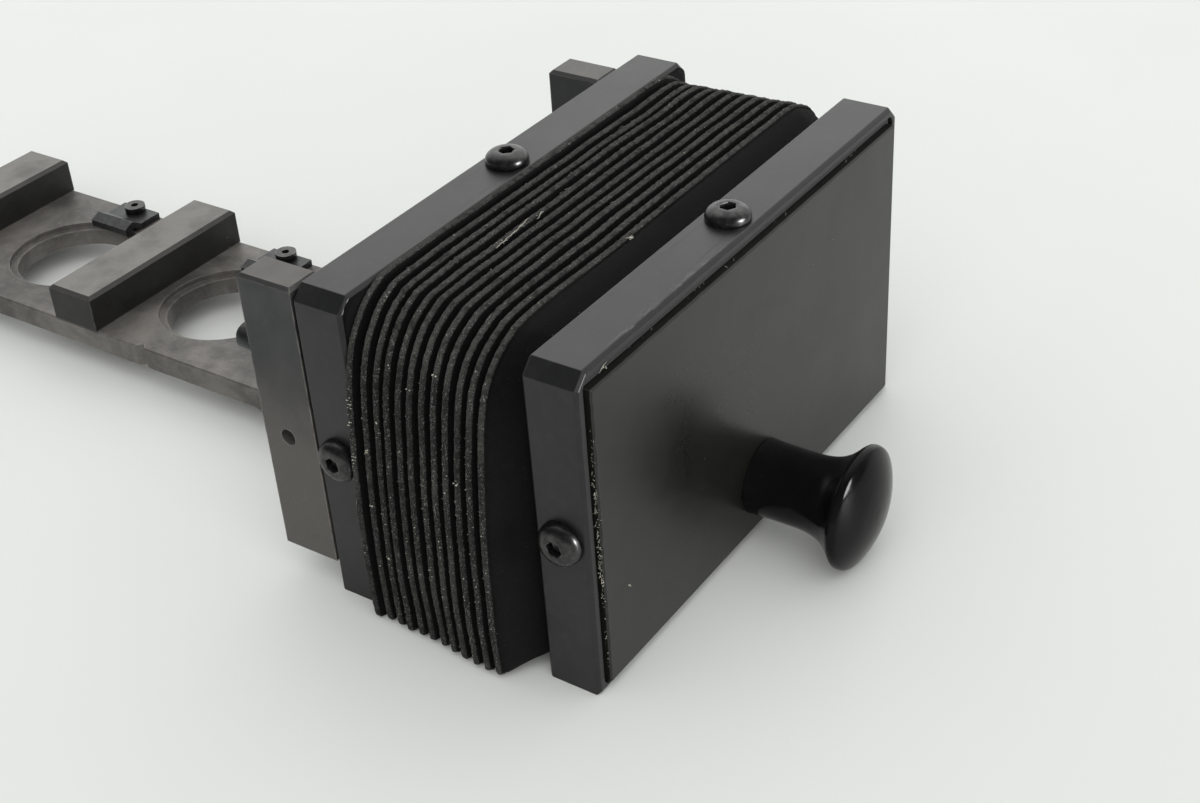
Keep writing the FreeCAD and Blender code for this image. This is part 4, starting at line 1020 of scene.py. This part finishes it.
def fold_lint():
    """Pale flecks and strands lying on single folds."""
    rng = random.Random(8842)
    lint = FoldParts()
    # bright fleck on the first fold, near its top edge
    fleck_x, fleck_y = -10.1, MOUNT_Y - 40.95
    for _ in range(7):
        centre = jitter(rng, (fleck_x, fleck_y, 49.75),
                        x=(-0.25, 0.25), y=(-0.15, 0.1), z=(-0.35, 0.35))
        lint.add(crumb(centre, rng.uniform(0.10, 0.22), rng), 0)
    for _ in range(3):
        lean = (rng.gauss(0, 1), -0.3, rng.gauss(0, 0.6))
        lint.add(fibre(curl((fleck_x, fleck_y, 49.9), 1.1, lean, rng), 0.035), 0)
    # strands across the top of the middle folds: x and y of the start, x and y of the end
    for x0, y0, x1, y1 in ((-21.5, -27.4, -16.0, -27.0), (-16.6, -27.1, -12.6, -26.4),
                           (-12.4, -27.6, -10.2, -27.0)):
        points = []
        for k in range(9):
            t = k / 8
            point = (x0 + (x1 - x0) * t, MOUNT_Y + y0 + (y1 - y0) * t,
                     50.22 + 0.10 * math.sin(3.0 * t))
            points.append(jitter(rng, point, y=(-0.12, 0.12), z=(-0.03, 0.05)))
        lint.add(fibre(points, 0.055), 7)
    for _ in range(10):
        centre = jitter(rng, (0.0, MOUNT_Y - 27.0, 50.2), x=(-20.5, -11.0), y=(-0.5, 0.5))
        lint.add(crumb(centre, rng.uniform(0.06, 0.12), rng), 7)
    # specks on the left side, at (y, z)
    for y, z in ((-19.6, 29.6), (-20.4, 29.1), (-19.9, 20.4), (-21.6, 34.0), (-22.4, 12.8),
                 (-27.8, 41.0), (-31.9, 43.5), (-35.9, 30.6)):
        fold = max(0, min(LAST_FOLD, int(round((y - FIRST_FOLD_Y) / PITCH))))
        for _ in range(3):
            centre = jitter(rng, left_side_point(fold, z),
                            x=(-0.06, 0.1), y=(-0.3, 0.3), z=(-0.3, 0.3))
            lint.add(crumb(centre, rng.uniform(0.09, 0.18), rng), fold)
    # clusters on the left side of the last fold
    for z in (35.5, 33.0, 27.5):
        for _ in range(9):
            centre = jitter(rng, left_side_point(LAST_FOLD, z + rng.gauss(0, 0.6)),
                            x=(-0.05, 0.1), y=(-0.4, 0.3))
            lint.add(crumb(centre, rng.uniform(0.06, 0.15), rng), LAST_FOLD)
    # scattered crumbs down the left side of all folds
    for _ in range(60):
        fold = rng.randrange(FOLD_COUNT)
        centre = edge_point(fold, PERIMETER * rng.uniform(0.70, 0.80), 0.02,
                            rng.uniform(-0.3, 0.3))
        lint.add(crumb(centre, rng.uniform(0.05, 0.13), rng), fold)
    lint.build("fold_lint", PALE_LINT)


bellows_dust()
seam_fibres()
fold_lint()


# ------------------------------------------------------------------ floor, light and camera
def floor():
    mat = Mat("floor_white")
    mat.color = mat.mix(mat.patches(scale=0.004, detail=3, low=0.3, high=0.7),
                        (0.80, 0.81, 0.795), (0.83, 0.84, 0.825))
    rough = mat.plus(0.45, mat.noise(scale=0.05, detail=3, rough=0.55), amount=0.1)
    mat.bump(mat.noise(scale=2.0, detail=3, rough=0.55), strength=0.1, depth=0.01)
    half, z = 3000.0, -0.02
    corners = [(-half, -half, z), (half, -half, z), (half, half, z), (-half, half, z)]
    obj = mesh_object("floor", corners, [(0, 1, 2, 3)], mat.finish(rough=rough, spec=0.3),
                      smooth=False)


def studio_world():
    """A large soft source up, behind and to the right, and a dim room elsewhere. Diffuse rays
    see an even light instead."""
    source_direction = (0.74, 0.36, 0.57)
    # nearness to the source (0 opposite, 1 towards it), brightness
    stops = ((0.0, 0.09), (0.50, 0.03), (0.60, 0.05), (0.74, 0.34), (0.88, 0.74), (1.0, 0.94))
    world = bpy.data.worlds.new("studio")
    SCENE.world = world
    world.use_nodes = True
    graph = Graph(world.node_tree)
    output = graph.add("OutputWorld")

    view = graph.add("TexCoord").outputs["Generated"]
    nearness = graph.add("MapRange")
    nearness.inputs[1].default_value = -1.0      # from -1..1 to 0..1
    graph.put(nearness.inputs[0], graph.dot(view, tuple(Vector(source_direction).normalized())))
    brightness = graph.add("ValToRGB")
    graph.put(brightness.inputs[0], nearness.outputs[0])
    ramp = brightness.color_ramp
    ramp.interpolation = "EASE"
    ramp.elements[0].color = (stops[0][1],) * 3 + (1.0,)
    ramp.elements[1].color = (stops[-1][1],) * 3 + (1.0,)
    for position, value in stops[1:-1]:
        ramp.elements.new(position).color = (value, value, value, 1.0)

    room = graph.add("Background")
    tint = graph.mix(1.0, brightness.outputs[0], (0.99, 1.0, 0.985), blend="MULTIPLY")
    graph.put(room.inputs["Color"], tint)
    room.inputs["Strength"].default_value = 1.9
    even = graph.add("Background")
    graph.put(even.inputs["Color"], (0.985, 1.0, 0.975))
    even.inputs["Strength"].default_value = 0.70
    choice = graph.add("MixShader")
    graph.put(choice.inputs[0], graph.add("LightPath").outputs["Is Diffuse Ray"])
    graph.put(choice.inputs[1], room.outputs[0])
    graph.put(choice.inputs[2], even.outputs[0])
    graph.put(output.inputs[0], choice.outputs[0])


def sun(name, toward, spread, power):
    """Broad parallel light from the direction toward, spread in degrees, not reflected."""
    light = bpy.data.lights.new(name, "SUN")
    light.angle = math.radians(spread)
    light.energy = power
    obj = link_object(name, light)
    obj.rotation_euler = Vector(toward).to_track_quat("Z", "Y").to_euler()
    obj.visible_glossy = False


def disk_lamp(name, location, target, size, power):
    """Round area light, in metres, seen in reflections only."""
    light = bpy.data.lights.new(name, "AREA")
    light.shape = "DISK"
    light.size = size
    light.energy = power
    obj = link_object(name, light)
    obj.location = location
    aim = Vector(target) - Vector(location)
    obj.rotation_euler = aim.to_track_quat("-Z", "Y").to_euler()
    obj.visible_diffuse = False


def camera():
    """Looks from the front left and above; the angles are in degrees."""
    azimuth, elevation, roll = (math.radians(a) for a in (-54.0462, 33.9793, -4.0127))
    back = Vector((math.sin(azimuth) * math.cos(elevation),
                   -math.cos(azimuth) * math.cos(elevation), math.sin(elevation)))
    right = (-back).cross(Vector((0, 0, 1))).normalized()
    up = right.cross(-back)
    rolled_right = right * math.cos(roll) + up * math.sin(roll)
    rolled_up = -right * math.sin(roll) + up * math.cos(roll)
    data = bpy.data.cameras.new("camera")
    data.sensor_width = 36.0
    data.lens = 54.517
    data.clip_start = 0.01
    obj = link_object("camera", data)
    pose = Matrix((rolled_right, rolled_up, back)).transposed().to_4x4()
    pose.translation = Vector((-0.183205, MOUNT_Y * MM - 0.159714, 0.165582))
    obj.matrix_world = pose
    SCENE.camera = obj


floor()
studio_world()
sun("overhead", toward=(0.10, -0.05, 1.0), spread=90, power=0.30)
sun("front_fill", toward=(-0.55, -0.45, 0.62), spread=70, power=0.95)
disk_lamp("lamp", location=(0.09, -1.039 + MOUNT_Y * MM, 0.25),
          target=(0, -0.07 + MOUNT_Y * MM, 0.01), size=0.34, power=14.0)
camera()
SCENE.view_settings.view_transform = "Standard"
SCENE.view_settings.look = "None"

bpy.context.view_layer.update()
